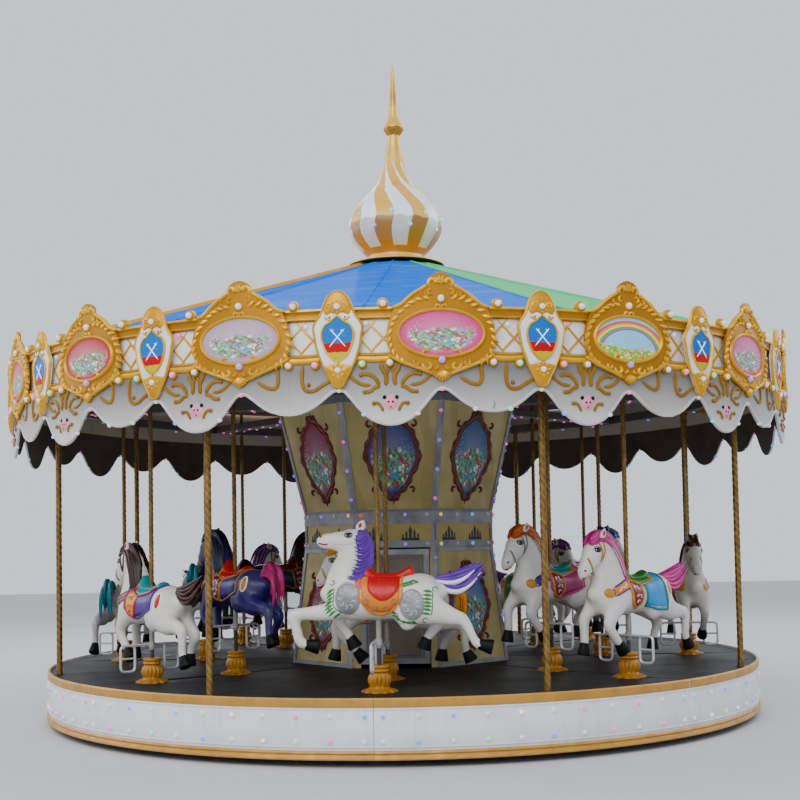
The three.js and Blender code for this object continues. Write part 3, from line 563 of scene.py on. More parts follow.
def rim_rows(angle):
    """Radius, height and slot of each line across the rim: the trim ripples with the angle's
    cosine, everything else is even."""
    ripple = 0.5 + 0.5 * np.cos(angle * 144)
    swell = 0.5 + 0.5 * np.cos(angle * 72)
    return [
        (RIM_BACK, RIM_BOTTOM, 0), (2.998, RIM_BOTTOM, 1),
        (3.0 + 0.004 * ripple, RIM_BOTTOM + 0.008, 1),
        (2.994 + 0.009 * ripple, RIM_BOTTOM + 0.022, 1),
        (2.988 + 0.004 * swell, RIM_BOTTOM + 0.034, 1),
        (2.996 + 0.007 * swell, RIM_BOTTOM + 0.043 + 0.004 * swell, 1),
        (2.994, TRIM_TOP - 0.006 + 0.005 * swell, 1), (2.988, TRIM_TOP, 1),
        (FIELD, TRIM_TOP + 0.001, 0), (FIELD, TRIM_TOP + 0.014, 0), (BEAD, TRIM_TOP + 0.018, 0),
        (BEAD, TRIM_TOP + 0.024, 0), (FIELD, TRIM_TOP + 0.028, 0), (FIELD, BAND_BOTTOM - 0.018, 0),
        (BEAD, BAND_BOTTOM - 0.014, 0), (BEAD, BAND_BOTTOM - 0.008, 0),
        (FIELD + 0.001, BAND_BOTTOM - 0.002, 0), (BAND - 0.002, BAND_BOTTOM, 1),
        (BAND, BAND_BOTTOM + 0.005, 1), (BAND, RIM_TOP - 0.008, 1), (BAND - 0.006, RIM_TOP, 1),
        (RIM_BACK, RIM_TOP, 1)]


def rim_panel(start, arc):
    """One panel: its rows carried along the arc, and its end faces closed to the back."""
    seam = 0.0015 / RIM_RADIUS
    angles = np.linspace(start + seam, start + arc - seam, int(round(math.degrees(arc) * 2)) + 1)
    rows = rim_rows(angles)
    points = np.stack([around(r, angles, z) for r, z, _ in rows], 1)
    slots = np.tile([row[2] for row in rows[1:]] + [0], len(angles) - 1)
    panel = Shape().add(points, grid(len(angles), len(rows), loop_columns=True), slots)
    for end in (0, -1):
        edge = points[end]
        back = around(RIM_BACK, angles[end], edge[:, 2])
        panel.add(np.stack([edge, back]), grid(2, len(rows)))
    return panel


look, tree = coat("rim_white", Coat_Weight=0.25, Coat_Roughness=0.2)
height = level_of(tree, look.place)
splash = times(
    tree, spread(tree, height, 0.1, 0.25, 1.0, 0.0), noise(tree, look.place, 4.0, 5.0, 0.6))
white = mixed(tree, times(tree, splash, 0.7), colour("e4e6ec"), colour("9b968d"))
washed = placed(
    tree, streaks, Vector=look.place, Color=white, Stain=colour("a39d93"), Amount=0.28, Width=26.0)
RIM_WHITE = grimed(look, washed["Color"], "938c80", 0.2, 5.0, 0.22, 0.15)
RIM_GOLD = paint("rim_gold", "bd8a34", "76542a", 0.45, 7.0, 0.3, 0.25, Metallic=0.15)

lamp_choice = np.random.default_rng(7)
LIT = ("pink", "blue", "cyan", "green", "white", "violet", "pink", "blue")
rims = [("rim_panel_1", 0, 1.0), ("rim_half_panel_a", 1, 0.5), ("rim_half_panel_b", 1.5, 0.5)]
rims += [(f"rim_panel_{k + 1}", k, 1.0) for k in range(2, SECTORS)]
for name, sector, share in rims:
    start = ROW_ANGLE + sector * SECTOR
    panel = rim_panel(start, share * SECTOR)
    columns = np.arange(LAMP_COLUMNS)
    if share < 1:
        columns = columns[:6] if sector == 1 else columns[6:]
    for row, height in enumerate(LAMP_ROWS):
        angles = ROW_ANGLE + int(sector) * SECTOR + LAMP_START + columns * LAMP_PITCH
        lit = (columns + row) % 2 == 0
        names = np.where(lit, lamp_choice.choice(LIT, len(columns)), "pearl")
        facing = around(1.0, angles, 0.0)
        lamps(panel, 0, around(FIELD + 0.001, angles, height), facing, 0.0215, flat=0.25)
        lamps(panel, 2, around(FIELD + 0.003, angles, height), facing, 0.0165, names)
    screws = start + (np.arange(4) + 0.5) * share * SECTOR / 4
    for height in (RIM_TOP - 0.015, BAND_BOTTOM + 0.014):
        lamps(panel, 1, around(BAND - 0.0005, screws, height), around(1.0, screws, 0.0), 0.005,
              flat=0.5)
    mesh = panel.mesh(name.replace("panel", "skirt"), [RIM_WHITE, RIM_GOLD, LAMP_GLASS], 35.0)
    show(mesh, "platform", "rim_panel", name)


# Posts. Steel tubes in twisted brass sleeves, standing on the deck in small turned flanges and
# carrying the ring of the canopy.
POST_CIRCLE, POST_RADIUS = 2.905, 0.025
CEILING_BOTTOM, CEILING_TOP = 2.62, 2.7
FITTED_GAP = 0.0003
POST_PITCH = 0.165
STRANDS, ROPE_STEP, GROOVE = 3, 0.015, 0.26


def rope(radius, bottom, top, pitch, sides=12):
    """An upright twisted bar at the origin, closed at both ends: the strands turn once in every
    pitch, and between them the radius falls as one minus the cosine of half their angle."""
    height = np.linspace(bottom, top, max(int((top - bottom) / ROPE_STEP), 4))
    height = np.concatenate([[bottom], height, [top]])[:, None]
    angle = (TURN * np.arange(sides) / sides)[None]
    groove = 1 - np.abs(np.cos(STRANDS * (angle + TURN * height / pitch) / 2))
    reach = radius * (1 - GROOVE * groove)
    reach[[0, -1]] = 0.0
    shade = np.repeat(1.15 - 0.95 * groove.reshape(-1, 1), 3, 1)
    return around(reach, angle, height), grid(*reach.shape, loop_columns=True), shade


look, tree = coat("twisted_brass", Metallic=0.55)
tone = noise(tree, stretched(tree, look.place, (1.0, 1.0, 0.35)), 30.0, 4.0)
brass = mixed(tree, spread(tree, tone, 0.3, 0.7), colour("70521e"), colour("a07c3a"))
brass = mixed(tree, 1.0, look.tint, brass, "MULTIPLY")
BRASS = grimed(look, brass, "4e3a1e", 0.5, 12.0, 0.25)
for k in range(SECTORS):
    place = around(POST_CIRCLE, POST_ANGLE + k * SECTOR, 0.0)
    post = Shape()
    points, faces, shade = rope(
        POST_RADIUS, DECK_TOP + FITTED_GAP, CEILING_BOTTOM - FITTED_GAP, POST_PITCH)
    post.add(points + place, faces, 0, shade)
    for sign, level in ((1, DECK_TOP + FITTED_GAP), (-1, CEILING_BOTTOM - FITTED_GAP)):
        flange = np.array([(0.0, 0.0), (0.041, 0.0), (0.042, 0.003), (0.039, 0.006), (0.029, 0.008),
                           (0.027, 0.014), (0.0, 0.014)])
        points, faces = turned(flange * [1, sign] + [0, level], 20)
        post.add(points + place, faces, 0, (0.45, 0.42, 0.4))
    show(post.mesh(f"post_rope_{k + 1}", [BRASS], 45.0), "platform", "twisted_brass",
         f"post_{k + 1}")


# Lower drum. Panels of painted board between silver corner strips, leaning in towards the waist,
# on an octagon. Each panel carries a moulded red-brown frame round a painted picture.
FOOT_CORNER, WAIST_CORNER, CROWN_CORNER = 0.98, 0.86, 1.08
WAIST_BOTTOM, WAIST_TOP, CROWN_BOTTOM = 1.383, 1.676, 2.56
FRIEZE_BOTTOM, FRIEZE_TOP = 1.44, 1.578
WALL = 0.02
DOOR_HALF, DOOR_BOTTOM, DOOR_TOP, LOCK_GAP = 0.28, 0.45, 1.37, 0.006
HALF_SECTOR_COS, HALF_SECTOR_SIN = math.cos(SECTOR / 2), math.sin(SECTOR / 2)


def corner_radius(height):
    """The octagon's corner radius at a height: straight lines from foot to waist to crown."""
    return np.interp(height, [DECK_TOP, WAIST_BOTTOM, WAIST_TOP, CROWN_BOTTOM],
                     [FOOT_CORNER, WAIST_CORNER, WAIST_CORNER, CROWN_CORNER])


def on_face(k):
    """Places points given across, proud and up on the k-th face of the drum."""
    turn = standing(ROW_ANGLE + k * SECTOR)

    def place(points):
        across, proud, up = points.T
        return turn(np.stack([across, corner_radius(up) * HALF_SECTOR_COS + proud, up], -1))
    return place


def closed_sheet(front, back, slot=0, tint=WHITE):
    """Two grids of points as the faces of a thin sheet, joined round all four edges."""
    shape = Shape()
    for face in (front, back):
        shape.add(face, grid(*face.shape[:2]), slot, tint)
    for first, second in ((front[0], back[0]), (front[-1], back[-1]), (front[:, 0], back[:, 0]),
                          (front[:, -1], back[:, -1])):
        shape.add(np.stack([first, second]), grid(2, len(first)), slot, tint)
    return shape


def slab(left, right, bottom, top, back, front, columns=1, rows=1, slot=0):
    """A closed flat slab across, proud and up; left and right may change with the height."""
    v = np.linspace(bottom, top, rows + 1)
    edges = [f(v) if callable(f) else np.full(rows + 1, float(f)) for f in (left, right)]
    u = edges[0][:, None] + (edges[1] - edges[0])[:, None] * np.linspace(0, 1, columns + 1)
    faces = [np.stack([u, np.full_like(u, depth), np.repeat(v[:, None], columns + 1, 1)], -1)
             for depth in (front, back)]
    return closed_sheet(*faces, slot)


def half_face(height):
    """Half the width of one of the drum's faces at a height."""
    return corner_radius(height) * HALF_SECTOR_SIN


def board(bottom, top, back, front, inset=0.0, columns=1, rows=1, slot=0):
    """A slab over the width of a drum face, drawn in by an inset on both sides."""
    return slab(lambda v: inset - half_face(v), lambda v: half_face(v) - inset, bottom, top, back,
                front, columns, rows, slot)


def corner_strips(bottom, top, front, inwards, outwards=0.0, rows=1, slot=0):
    """A narrow slab at each upright edge of a drum face, from inside the edge to beyond it."""
    right = slab(lambda v: half_face(v) - inwards, lambda v: half_face(v) + outwards, bottom, top,
                 0.0, front, 1, rows, slot)
    left = slab(lambda v: -half_face(v) - outwards, lambda v: -half_face(v) + inwards, bottom, top,
                0.0, front, 1, rows, slot)
    return right.merge(left)


def stroke(path, width, height, base=0.0, closed=False, sides=5, tint=WHITE, slot=0):
    """A raised band along a path across and up a wall: its section is half an oval, given by
    cosine across and sine outwards, closed underneath. Open ends narrow to nothing."""
    path = np.asarray(path, float)
    count = len(path)
    if closed:
        along = np.roll(path, -1, 0) - np.roll(path, 1, 0)
        width, height = np.broadcast_to(width, count), np.broadcast_to(height, count)
    else:
        along = np.gradient(path, axis=0)
        ends = np.minimum(1.0, np.minimum(np.arange(count), np.arange(count)[::-1]) / 1.5)
        width, height = width * np.sqrt(ends), height * np.sqrt(ends)
    along = along / np.maximum(np.linalg.norm(along, axis=1, keepdims=True), 1e-9)
    turn = np.linspace(0, math.pi, sides)
    side = np.stack([-along[:, 1], along[:, 0]], -1)
    offset = width[:, None] * np.cos(turn)[None]
    lift = base + height[:, None] * np.sin(turn)[None] ** 0.8
    points = np.empty((count, sides, 3))
    points[..., 0] = path[:, :1] + offset * side[:, :1]
    points[..., 2] = path[:, 1:] + offset * side[:, 1:]
    points[..., 1] = lift
    points[:, [0, -1], 1] = base - 0.002
    return Shape().add(points, grid(count, sides, closed, True), slot, tint)


def disc(outline, proud, centre=(0.0, 0.0), rings=(1.0, 0.6, 0.3, 0.0), slot=0, tint=WHITE,
         crown=0.0, back=None):
    """A plate inside a closed outline across and up: rings of the outline shrunk about its
    centre, raised towards it by a crown, with UV from -1 to 1 over the outline's reach."""
    outline, centre = np.asarray(outline, float), np.asarray(centre, float)
    count = len(outline)
    reach = np.abs(outline - centre).max(0)
    levels = [proud + crown * (1 - r ** 2) for r in rings]
    flats = [centre + (outline - centre) * r for r in rings]
    if back is not None:
        flats = [centre + 0 * outline, outline] + flats
        levels = [back, back] + levels
    flat = np.stack(flats)
    points = np.stack([
        flat[..., 0], np.broadcast_to(np.array(levels)[:, None], flat.shape[:2]), flat[..., 1]], -1)
    uv = (flat - centre) / reach
    return Shape().add(points, grid(len(flats), count, loop_columns=True), slot, tint, uv)


def curl(centre, start, sweep, near, far, count=12):
    """A scroll across and up: the radius changes evenly from far to near as the angle sweeps."""
    angle = np.radians(start + sweep * np.linspace(0, 1, count))
    radius = far + (near - far) * np.linspace(0, 1, count)
    return np.stack([centre[0] + radius * np.cos(angle), centre[1] + radius * np.sin(angle)], -1)


def circle(centre, radius, count):
    """A closed round outline across and up."""
    return curl(centre, 0, 360, radius, radius, count + 1)[:-1]


def ringed(corners, count):
    """A closed outline through corners, with a number of points to each straight side."""
    corners = np.asarray(corners, float)
    return np.concatenate(
        [np.linspace(start, end, count, endpoint=False)
         for start, end in zip(corners, np.roll(corners, -1, 0))])


look, tree = coat("drum_board")
cloud = noise(tree, look.place, 2.6, 4.0)
ochre = mixed(tree, spread(tree, cloud, 0.4, 0.62), colour("b9a660"), colour("c9b97c"))
swirl = node(tree, "TexWave", {"Vector": look.place, "Scale": 1.1, "Distortion": 9.0, "Detail": 1.0,
                               "Detail Scale": 0.8}).outputs["Fac"]
pattern = times(tree, spread(tree, swirl, 0.78, 0.84), 0.4)
ochre = mixed(tree, pattern, ochre, colour("a08c45"))
DRUM_BOARD = grimed(look, ochre, "6b5c33", 0.3, 4.0, 0.3, 0.1)
FRAME_RED = paint("frame_red_brown", "6f2a20", "2f120e", 0.5, 14.0, 0.35, 0.4, use_tint=True)
STRIP_SILVER = paint("strip_silver", "8d8d92", "4d4b49", 0.45, 9.0, 0.3, 0.2, Metallic=0.35)

# The painted pictures: a soft light in the middle of a coloured ground, a bank of blossoms
# below it and a few pale petals on each side, made from cells of the picture's own UV.
look, tree = coat("painted_garden", Roughness=0.4, Coat_Weight=0.06, Specular_IOR_Level=0.15)
radial = node(tree, "VectorMath", {0: look.uv}, operation="LENGTH").outputs["Value"]
centre_light = spread(tree, radial, 0.15, 0.95, 1.0, 0.0)
pale = mixed(tree, times(tree, centre_light, 0.25), look.tint, colour("f6dcec"))
cells = node(tree, "TexVoronoi", {"Vector": look.uv, "Scale": 7.0, "Randomness": 1.0})
petal = spread(tree, cells.outputs["Distance"], 0.42, 0.52, 1.0, 0.0)
ring = spread(tree, cells.outputs["Distance"], 0.1, 0.16, 1.0, 0.0)
hue = node(tree, "SeparateColor", {0: cells.outputs["Color"]})
warm = mixed(tree, spread(tree, hue.outputs[0], 0.35, 0.4), colour("c22a4e"), colour("f2f0ee"))
warm = mixed(tree, spread(tree, hue.outputs[1], 0.66, 0.7), warm, colour("4f9fd6"))
warm = mixed(tree, ring, warm, colour("e9bf4a"))
leaves = noise(tree, look.uv, 9.0, 3.0)
bank_green = mixed(tree, spread(tree, leaves, 0.45, 0.55), colour("3f7d4f"), colour("8fbf8a"))
wavy = times(tree, noise(tree, look.uv, 2.4, 2.0), 0.7)
bank = spread(tree, maths(tree, "ADD", level_of(tree, look.uv, "Y"), wavy), 0.42, 0.62, 1.0, 0.0)
inside = spread(tree, radial, 0.66, 0.84, 1.0, 0.0)
bank = times(tree, bank, inside)
flowers = mixed(tree, petal, bank_green, warm)
scene_colour = mixed(tree, times(tree, bank, 0.92), pale, flowers)
flecks = node(tree, "TexVoronoi", {"Vector": look.uv, "Scale": 13.0}).outputs["Distance"]
sides = spread(tree, maths(tree, "ABSOLUTE", level_of(tree, look.uv, "X")), 0.25, 0.5)
sparkle = times(tree, spread(tree, flecks, 0.15, 0.25, 1.0, 0.0), sides)
sparkle = times(tree, sparkle, inside)
scene_colour = mixed(tree, times(tree, sparkle, 0.8), scene_colour, colour("ffffff"))
GARDEN_PICTURE = feed(look, Base_Color=scene_colour)

SIDE_PICTURES = "2e5aa0 2f6fa8 7b1f3d 2e5aa0 7b1f3d 2f6fa8 2e5aa0 8a1c46".split()


def scrolled_frame(centre_up, half_width, half_height, tint):
    """A rococo frame: an upright oval whose radius is waved by cosines of the angle, with a
    lumpy rim, a crest, a drop and four curls, round a picture."""
    angle = TURN * np.arange(72) / 72
    taper = 1 + 0.16 * np.sin(angle)
    wave = 1 + 0.05 * np.cos(4 * angle) + 0.03 * np.cos(8 * angle + 0.6)
    outline = np.stack(
        [half_width * taper * wave * np.cos(angle), centre_up + half_height * wave * np.sin(angle)],
        -1)
    frame_shape = disc(outline, 0.004, (0.0, centre_up), slot=1, tint=tint)
    lumps = 0.016 + 0.007 * np.cos(angle * 18)
    frame_shape.merge(
        stroke(outline, lumps, 0.014 + 0.006 * np.cos(angle * 18), closed=True, slot=2))
    inner = (outline - [0, centre_up]) * 0.9 + [0, centre_up]
    frame_shape.merge(stroke(inner, 0.006, 0.01, 0.003, closed=True, slot=2, tint=(2.2, 1.6, 0.9)))
    top, bottom = centre_up + half_height * 1.04, centre_up - half_height * 1.04
    for side in (1, -1):
        for path, width in (
                (curl((0.035, top + 0.012), 200, -250, 0.008, 0.035), 0.011),
                (curl((0.028, bottom - 0.004), 160, 240, 0.006, 0.028), 0.009),
                (curl((half_width * 0.86, top - 0.07), 90, -260, 0.006, 0.034), 0.01),
                (curl((half_width * 0.72, bottom + 0.07), -90, 250, 0.006, 0.03), 0.009)):
            frame_shape.merge(stroke(path * [side, 1], width, 0.016, slot=2))
    crest = stroke([(0, top), (0, top + 0.03), (0, top + 0.07)], 0.014, 0.016, slot=2)
    drop = stroke([(0, bottom), (0, bottom - 0.03), (0, bottom - 0.06)], 0.012, 0.014, slot=2)
    return frame_shape.gather([crest, drop])


LAMPS_PER_STRIP = 4


def strip_lamps(bottom, top):
    """Places up a face's right-hand corner for its lamps, at even heights."""
    up = np.linspace(bottom, top, LAMPS_PER_STRIP)
    return np.stack([half_face(up), np.full(LAMPS_PER_STRIP, 0.012), up], -1)


SILVER_STRIP = dict(front=0.01, inwards=0.028, outwards=0.004, rows=2, slot=3)
lower = Shape()
BASE_UP, HEAD_UP = DECK_TOP + FITTED_GAP, WAIST_BOTTOM - FITTED_GAP
for k in range(SECTORS):
    place = on_face(k)
    if k == 0:
        lower.merge(slab(DOOR_HALF + LOCK_GAP, half_face, BASE_UP, HEAD_UP, -WALL, 0.0), place)
        lower.merge(slab(
            lambda v: -half_face(v), -DOOR_HALF - FITTED_GAP, BASE_UP, HEAD_UP, -WALL, 0.0), place)
    else:
        lower.merge(board(BASE_UP, HEAD_UP, -WALL, 0.0, 0.0, 4, 4), place)
        lower.merge(scrolled_frame(0.9, 0.205, 0.31, rgb(SIDE_PICTURES[k])), place)
        for v0, v1 in ((BASE_UP + 0.002, BASE_UP + 0.036), (HEAD_UP - 0.034, HEAD_UP - 0.002)):
            lower.merge(board(v0, v1, 0.0, 0.009, 0.03, slot=3), place)
    lower.merge(corner_strips(BASE_UP, HEAD_UP, **SILVER_STRIP), place)
    spots = place(strip_lamps(0.55, 1.3))
    names = np.where((np.arange(LAMPS_PER_STRIP) + k) % 2 == 0, "violet", "grey")
    lamps(lower, 4, spots, spots * [1, 1, 0], 0.015, names)
show(lower.mesh(
    "drum_lower_panels", [DRUM_BOARD, GARDEN_PICTURE, FRAME_RED, STRIP_SILVER, LAMP_GLASS], 35.0),
     "platform", "drum_panel", "drum_lower")


# Drum door. A silver-framed leaf with a raised grey-brown panel, hung at its left-hand edge, with
# a turned knob near the other.
DOOR_PANEL = paint("door_panel", "82766a", "5a5148", 0.4, 5.0, 0.4, 0.2)
door = Shape()
place = on_face(0)
door.merge(slab(-DOOR_HALF, DOOR_HALF, DOOR_BOTTOM, DOOR_TOP, -WALL, -0.004, slot=1), place)
STILE, BEAD_INSET = 0.045, 0.07
OPENING_HALF = DOOR_HALF - STILE
for left, right, bottom, top in (
        (-DOOR_HALF, -OPENING_HALF, DOOR_BOTTOM, DOOR_TOP),
        (OPENING_HALF, DOOR_HALF, DOOR_BOTTOM, DOOR_TOP),
        (-OPENING_HALF, OPENING_HALF, DOOR_TOP - STILE, DOOR_TOP),
        (-OPENING_HALF, OPENING_HALF, DOOR_BOTTOM, DOOR_BOTTOM + STILE)):
    door.merge(slab(left, right, bottom, top, -0.004, 0.004), place)
bead = [(side * 0.215, up) for side, up in (
    (-1, DOOR_BOTTOM + BEAD_INSET), (1, DOOR_BOTTOM + BEAD_INSET), (1, DOOR_TOP - BEAD_INSET),
    (-1, DOOR_TOP - BEAD_INSET))]
door.merge(stroke(ringed(bead, 12), 0.006, 0.006, -0.004, closed=True), place)
knob, faces = turned(
    [(0.0, 0.0), (0.016, 0.0), (0.016, 0.003), (0.007, 0.005), (0.007, 0.01), (0.011, 0.014),
     (0.01, 0.02), (0.0, 0.022)], 16)
knob = knob.reshape(-1, 3)[:, [0, 2, 1]] + [DOOR_HALF - STILE / 2, 0.004, 0.92]
door.add(place(knob), faces)
show(door.mesh("drum_door_leaf", [STRIP_SILVER, DOOR_PANEL], 30.0), "drum_door", "drum_panel",
     "drum_door")


# Waist of the drum. Two silver rails with lamps, and between them a board painted with dark
# towers against an evening ground.
RAIL_PROUD = 0.012 * HALF_SECTOR_COS
RAIL_GROW = RAIL_PROUD * HALF_SECTOR_SIN / HALF_SECTOR_COS
look, tree = coat("frieze_board", Roughness=0.35)
ochre = mixed(tree, noise(tree, look.place, 5.0, 4.0), colour("a8923f"), colour("c4b060"))
FRIEZE_BOARD = feed(look, Base_Color=ochre)
TOWER_BLUE = paint("tower_blue", "2a3a52", "4a2f28", 0.6, 10.0, 0.4, 0.2)
waist = Shape()
waist.add(*turned(
    [(0.0, WAIST_BOTTOM), (0.84, WAIST_BOTTOM), (0.84, WAIST_TOP), (0.0, WAIST_TOP)], SECTORS,
    ROW_ANGLE + SECTOR / 2))
RAIL_COLOURS = "red grey violet grey yellow grey cyan grey pink".split()
LAMPS_PER_RAIL = 4
TOWERS = ((0.0, 0.022, 0.075), (-0.032, 0.016, 0.05), (0.034, 0.016, 0.056), (-0.062, 0.012, 0.034),
          (0.062, 0.012, 0.04))
for k in range(SECTORS):
    place = on_face(k)
    waist.merge(board(FRIEZE_BOTTOM, FRIEZE_TOP, -WALL, 0.0, slot=1), place)
    for v0, v1 in ((WAIST_BOTTOM, FRIEZE_BOTTOM), (FRIEZE_TOP, 1.622), (1.628, WAIST_TOP)):
        waist.merge(board(v0, v1, -WALL, RAIL_PROUD, -RAIL_GROW), place)
    waist.merge(board(1.62, 1.63, -WALL, 0.004), place)
    waist.merge(corner_strips(FRIEZE_BOTTOM, FRIEZE_TOP, 0.009, 0.022), place)
    for group in (-0.17, 0.13):
        for x, width, tall in TOWERS:
            middle, eaves = group + x, FRIEZE_BOTTOM + tall
            waist.merge(slab(middle - width / 2, middle + width / 2, FRIEZE_BOTTOM, eaves, 0.0,
                             0.003, slot=2), place)
            roof_line = np.array([(middle - width * 0.75, eaves), (middle + width * 0.75, eaves),
                                  (middle, FRIEZE_BOTTOM + tall * 1.6)])
            roof_line = ringed(roof_line, 2)
            waist.merge(disc(roof_line, 0.003, roof_line.mean(0), (1.0, 0.0), 2, back=0.0), place)
        waist.merge(slab(group - 0.075, group + 0.075, FRIEZE_BOTTOM, FRIEZE_BOTTOM + 0.022, 0.0,
                         0.002, slot=2), place)
    across = np.linspace(-0.27, 0.27, LAMPS_PER_RAIL)
    names = [RAIL_COLOURS[(LAMPS_PER_RAIL * k + i) % len(RAIL_COLOURS)]
             for i in range(LAMPS_PER_RAIL)]
    for up in (1.411, 1.652):
        flat = np.stack(
            [across, np.full_like(across, RAIL_PROUD + 0.001), np.full_like(across, up)], -1)
        lamps(waist, 3, place(flat), around(1.0, ROW_ANGLE + k * SECTOR, 0.0), 0.017, names)
show(waist.mesh("drum_waist_rails", [STRIP_SILVER, FRIEZE_BOARD, TOWER_BLUE, LAMP_GLASS], 30.0),
     "platform", "silver_trim", "drum_waist")


# Upper drum. Boards that flare out to the ceiling, with the same frames and corner strips and a
# crown rail under the collar.
UPPER_BOTTOM, UPPER_TOP = WAIST_TOP + FITTED_GAP, CEILING_BOTTOM - FITTED_GAP
UPPER_PICTURES = "27498c 1f5f93 7c1c40 27498c 8a1c46 1f5f93 27498c 8a1846".split()
CROWN_GROW = 0.0046
upper = Shape()
upper.add(*turned(
    [(0.0, UPPER_BOTTOM), (0.83, UPPER_BOTTOM), (1.04, UPPER_TOP), (0.0, UPPER_TOP)], SECTORS,
    ROW_ANGLE + SECTOR / 2))
for k in range(SECTORS):
    place = on_face(k)
    upper.merge(board(UPPER_BOTTOM, CROWN_BOTTOM, -WALL, 0.0, 0.0, 4, 6), place)
    upper.merge(scrolled_frame(2.12, 0.205, 0.315, rgb(UPPER_PICTURES[k])), place)
    upper.merge(corner_strips(UPPER_BOTTOM, CROWN_BOTTOM, **SILVER_STRIP), place)
    upper.merge(board(CROWN_BOTTOM, UPPER_TOP, -WALL, 0.011, -CROWN_GROW, slot=3), place)
    upper.merge(board(UPPER_BOTTOM, UPPER_BOTTOM + 0.02, 0.0, 0.008, 0.03, slot=3), place)
    spots = place(strip_lamps(1.78, 2.48))
    names = np.where((np.arange(LAMPS_PER_STRIP) + k) % 3 == 0, "pink", "violet")
    lamps(upper, 4, spots, spots * [1, 1, 0], 0.016, names)
show(upper.mesh(
    "drum_upper_panels", [DRUM_BOARD, GARDEN_PICTURE, FRAME_RED, STRIP_SILVER, LAMP_GLASS], 35.0),
     "platform", "drum_panel", "drum_upper")


# Canopy frame. Boxed grey steel: an eight-sided collar on the drum, a ring over the posts, and
# a pair of bars along each row with lamps under them. The horses' poles run between each pair.
COLLAR_INNER, COLLAR_OUTER = 0.94, 1.11
RING_INNER, RING_OUTER = 2.875, 2.935
BAR_OFFSET, BAR_HALF = 0.045, 0.019
CANOPY_STEEL = paint("canopy_steel", "5a5452", "4a4340", 0.5, 5.0, 0.4, 0.2, Metallic=0.2)
canopy = Shape()
EDGE = 0.004


def square_ring(inner, outer, sides, start):
    """A ring of box section with softened edges, turned about the axis in straight lengths."""
    return turned(
        [(inner, CEILING_BOTTOM + EDGE), (inner + EDGE, CEILING_BOTTOM),
         (outer - EDGE, CEILING_BOTTOM), (outer, CEILING_BOTTOM + EDGE),
         (outer, CEILING_TOP - EDGE), (outer - EDGE, CEILING_TOP), (inner + EDGE, CEILING_TOP),
         (inner, CEILING_TOP - EDGE), (inner, CEILING_BOTTOM + EDGE)], sides, start)


canopy.add(*square_ring(COLLAR_INNER, COLLAR_OUTER, SECTORS, POST_ANGLE))
canopy.add(*square_ring(RING_INNER, RING_OUTER, 2 * SECTORS, POST_ANGLE))
bar_lamps = np.linspace(1.3, 2.75, 7)
DOWNWARDS = [[0.0, 0.0, -1.0]]
for k in range(SECTORS):
    row = ROW_ANGLE + k * SECTOR
    for side in (-1, 1):
        left, right = side * BAR_OFFSET - BAR_HALF, side * BAR_OFFSET + BAR_HALF
        section = np.array(
            [(left, 2.629), (left + EDGE, 2.625), (right - EDGE, 2.625), (right, 2.629),
             (right, 2.691), (right - EDGE, 2.695), (left + EDGE, 2.695), (left, 2.691)])
        reach = np.array([COLLAR_INNER + 0.08, RING_INNER + 0.03])
        sideways = around(1.0, row + TURN / 4, 0.0)
        points = (section[None, :, :1] * sideways + reach[:, None, None] * around(1.0, row, 0.0)
                  + section[None, :, 1:] * [0, 0, 1])
        canopy.add(points, grid(2, 8, loop_columns=True))
        names = np.where(np.arange(len(bar_lamps)) % 3 == 2, "violet", "pink")
        lamps(canopy, 1, around(bar_lamps, row, 2.6245) + side * BAR_OFFSET * sideways, DOWNWARDS,
              0.015, names)
for circle_radius, count, radius, names in (
        (2.9, 48, 0.015, ["pink", "violet", "blue"]), (1.06, 24, 0.014, ["pink", "white"])):
    angles = ROW_ANGLE + TURN * (np.arange(count) + 0.5) / count
    lamps(canopy, 1, around(circle_radius, angles, 2.6195), DOWNWARDS, radius,
          names * (count // len(names)))
show(canopy.mesh("canopy_bars", [CANOPY_STEEL, LAMP_GLASS], 30.0), "platform", "canopy_steel",
     "canopy_frame")


# Cornice. Moulded segments, one to each sector, painted gold and white: two rails with a lattice
# between them, two cartouches and two shields, with lamps in their bosses.
CORNICE_ANGLE = math.radians(4.8)
CORNICE_BACK, CORNICE_FIELD, CORNICE_RAIL = 3.2, 3.222, 3.256
CORNICE_BOTTOM, CORNICE_TOP = 2.545, 2.874
CARTOUCHE_UP = 2.698


def on_wall(radius, angle, lift=0.0):
    """Bends points given across, proud and up round the axis: the width becomes an angle."""
    def place(points):
        return around(radius + points[:, 1], angle + points[:, 0] / radius, points[:, 2] + lift)
    return place


def button(centre, radius, sides, proud, tint, crown, back, slot=0):
    """A round domed plate."""
    return disc(
        circle(centre, radius, sides), proud, centre, slot=slot, tint=tint, crown=crown, back=back)


def outline_of(right_half, count=72):
    """A closed outline that is the same on both sides, from its right half, top to bottom."""
    right = smooth_curve(right_half, count // 2 + 1)
    return np.concatenate([right, (right * [-1.0, 1.0])[::-1][1:-1]])


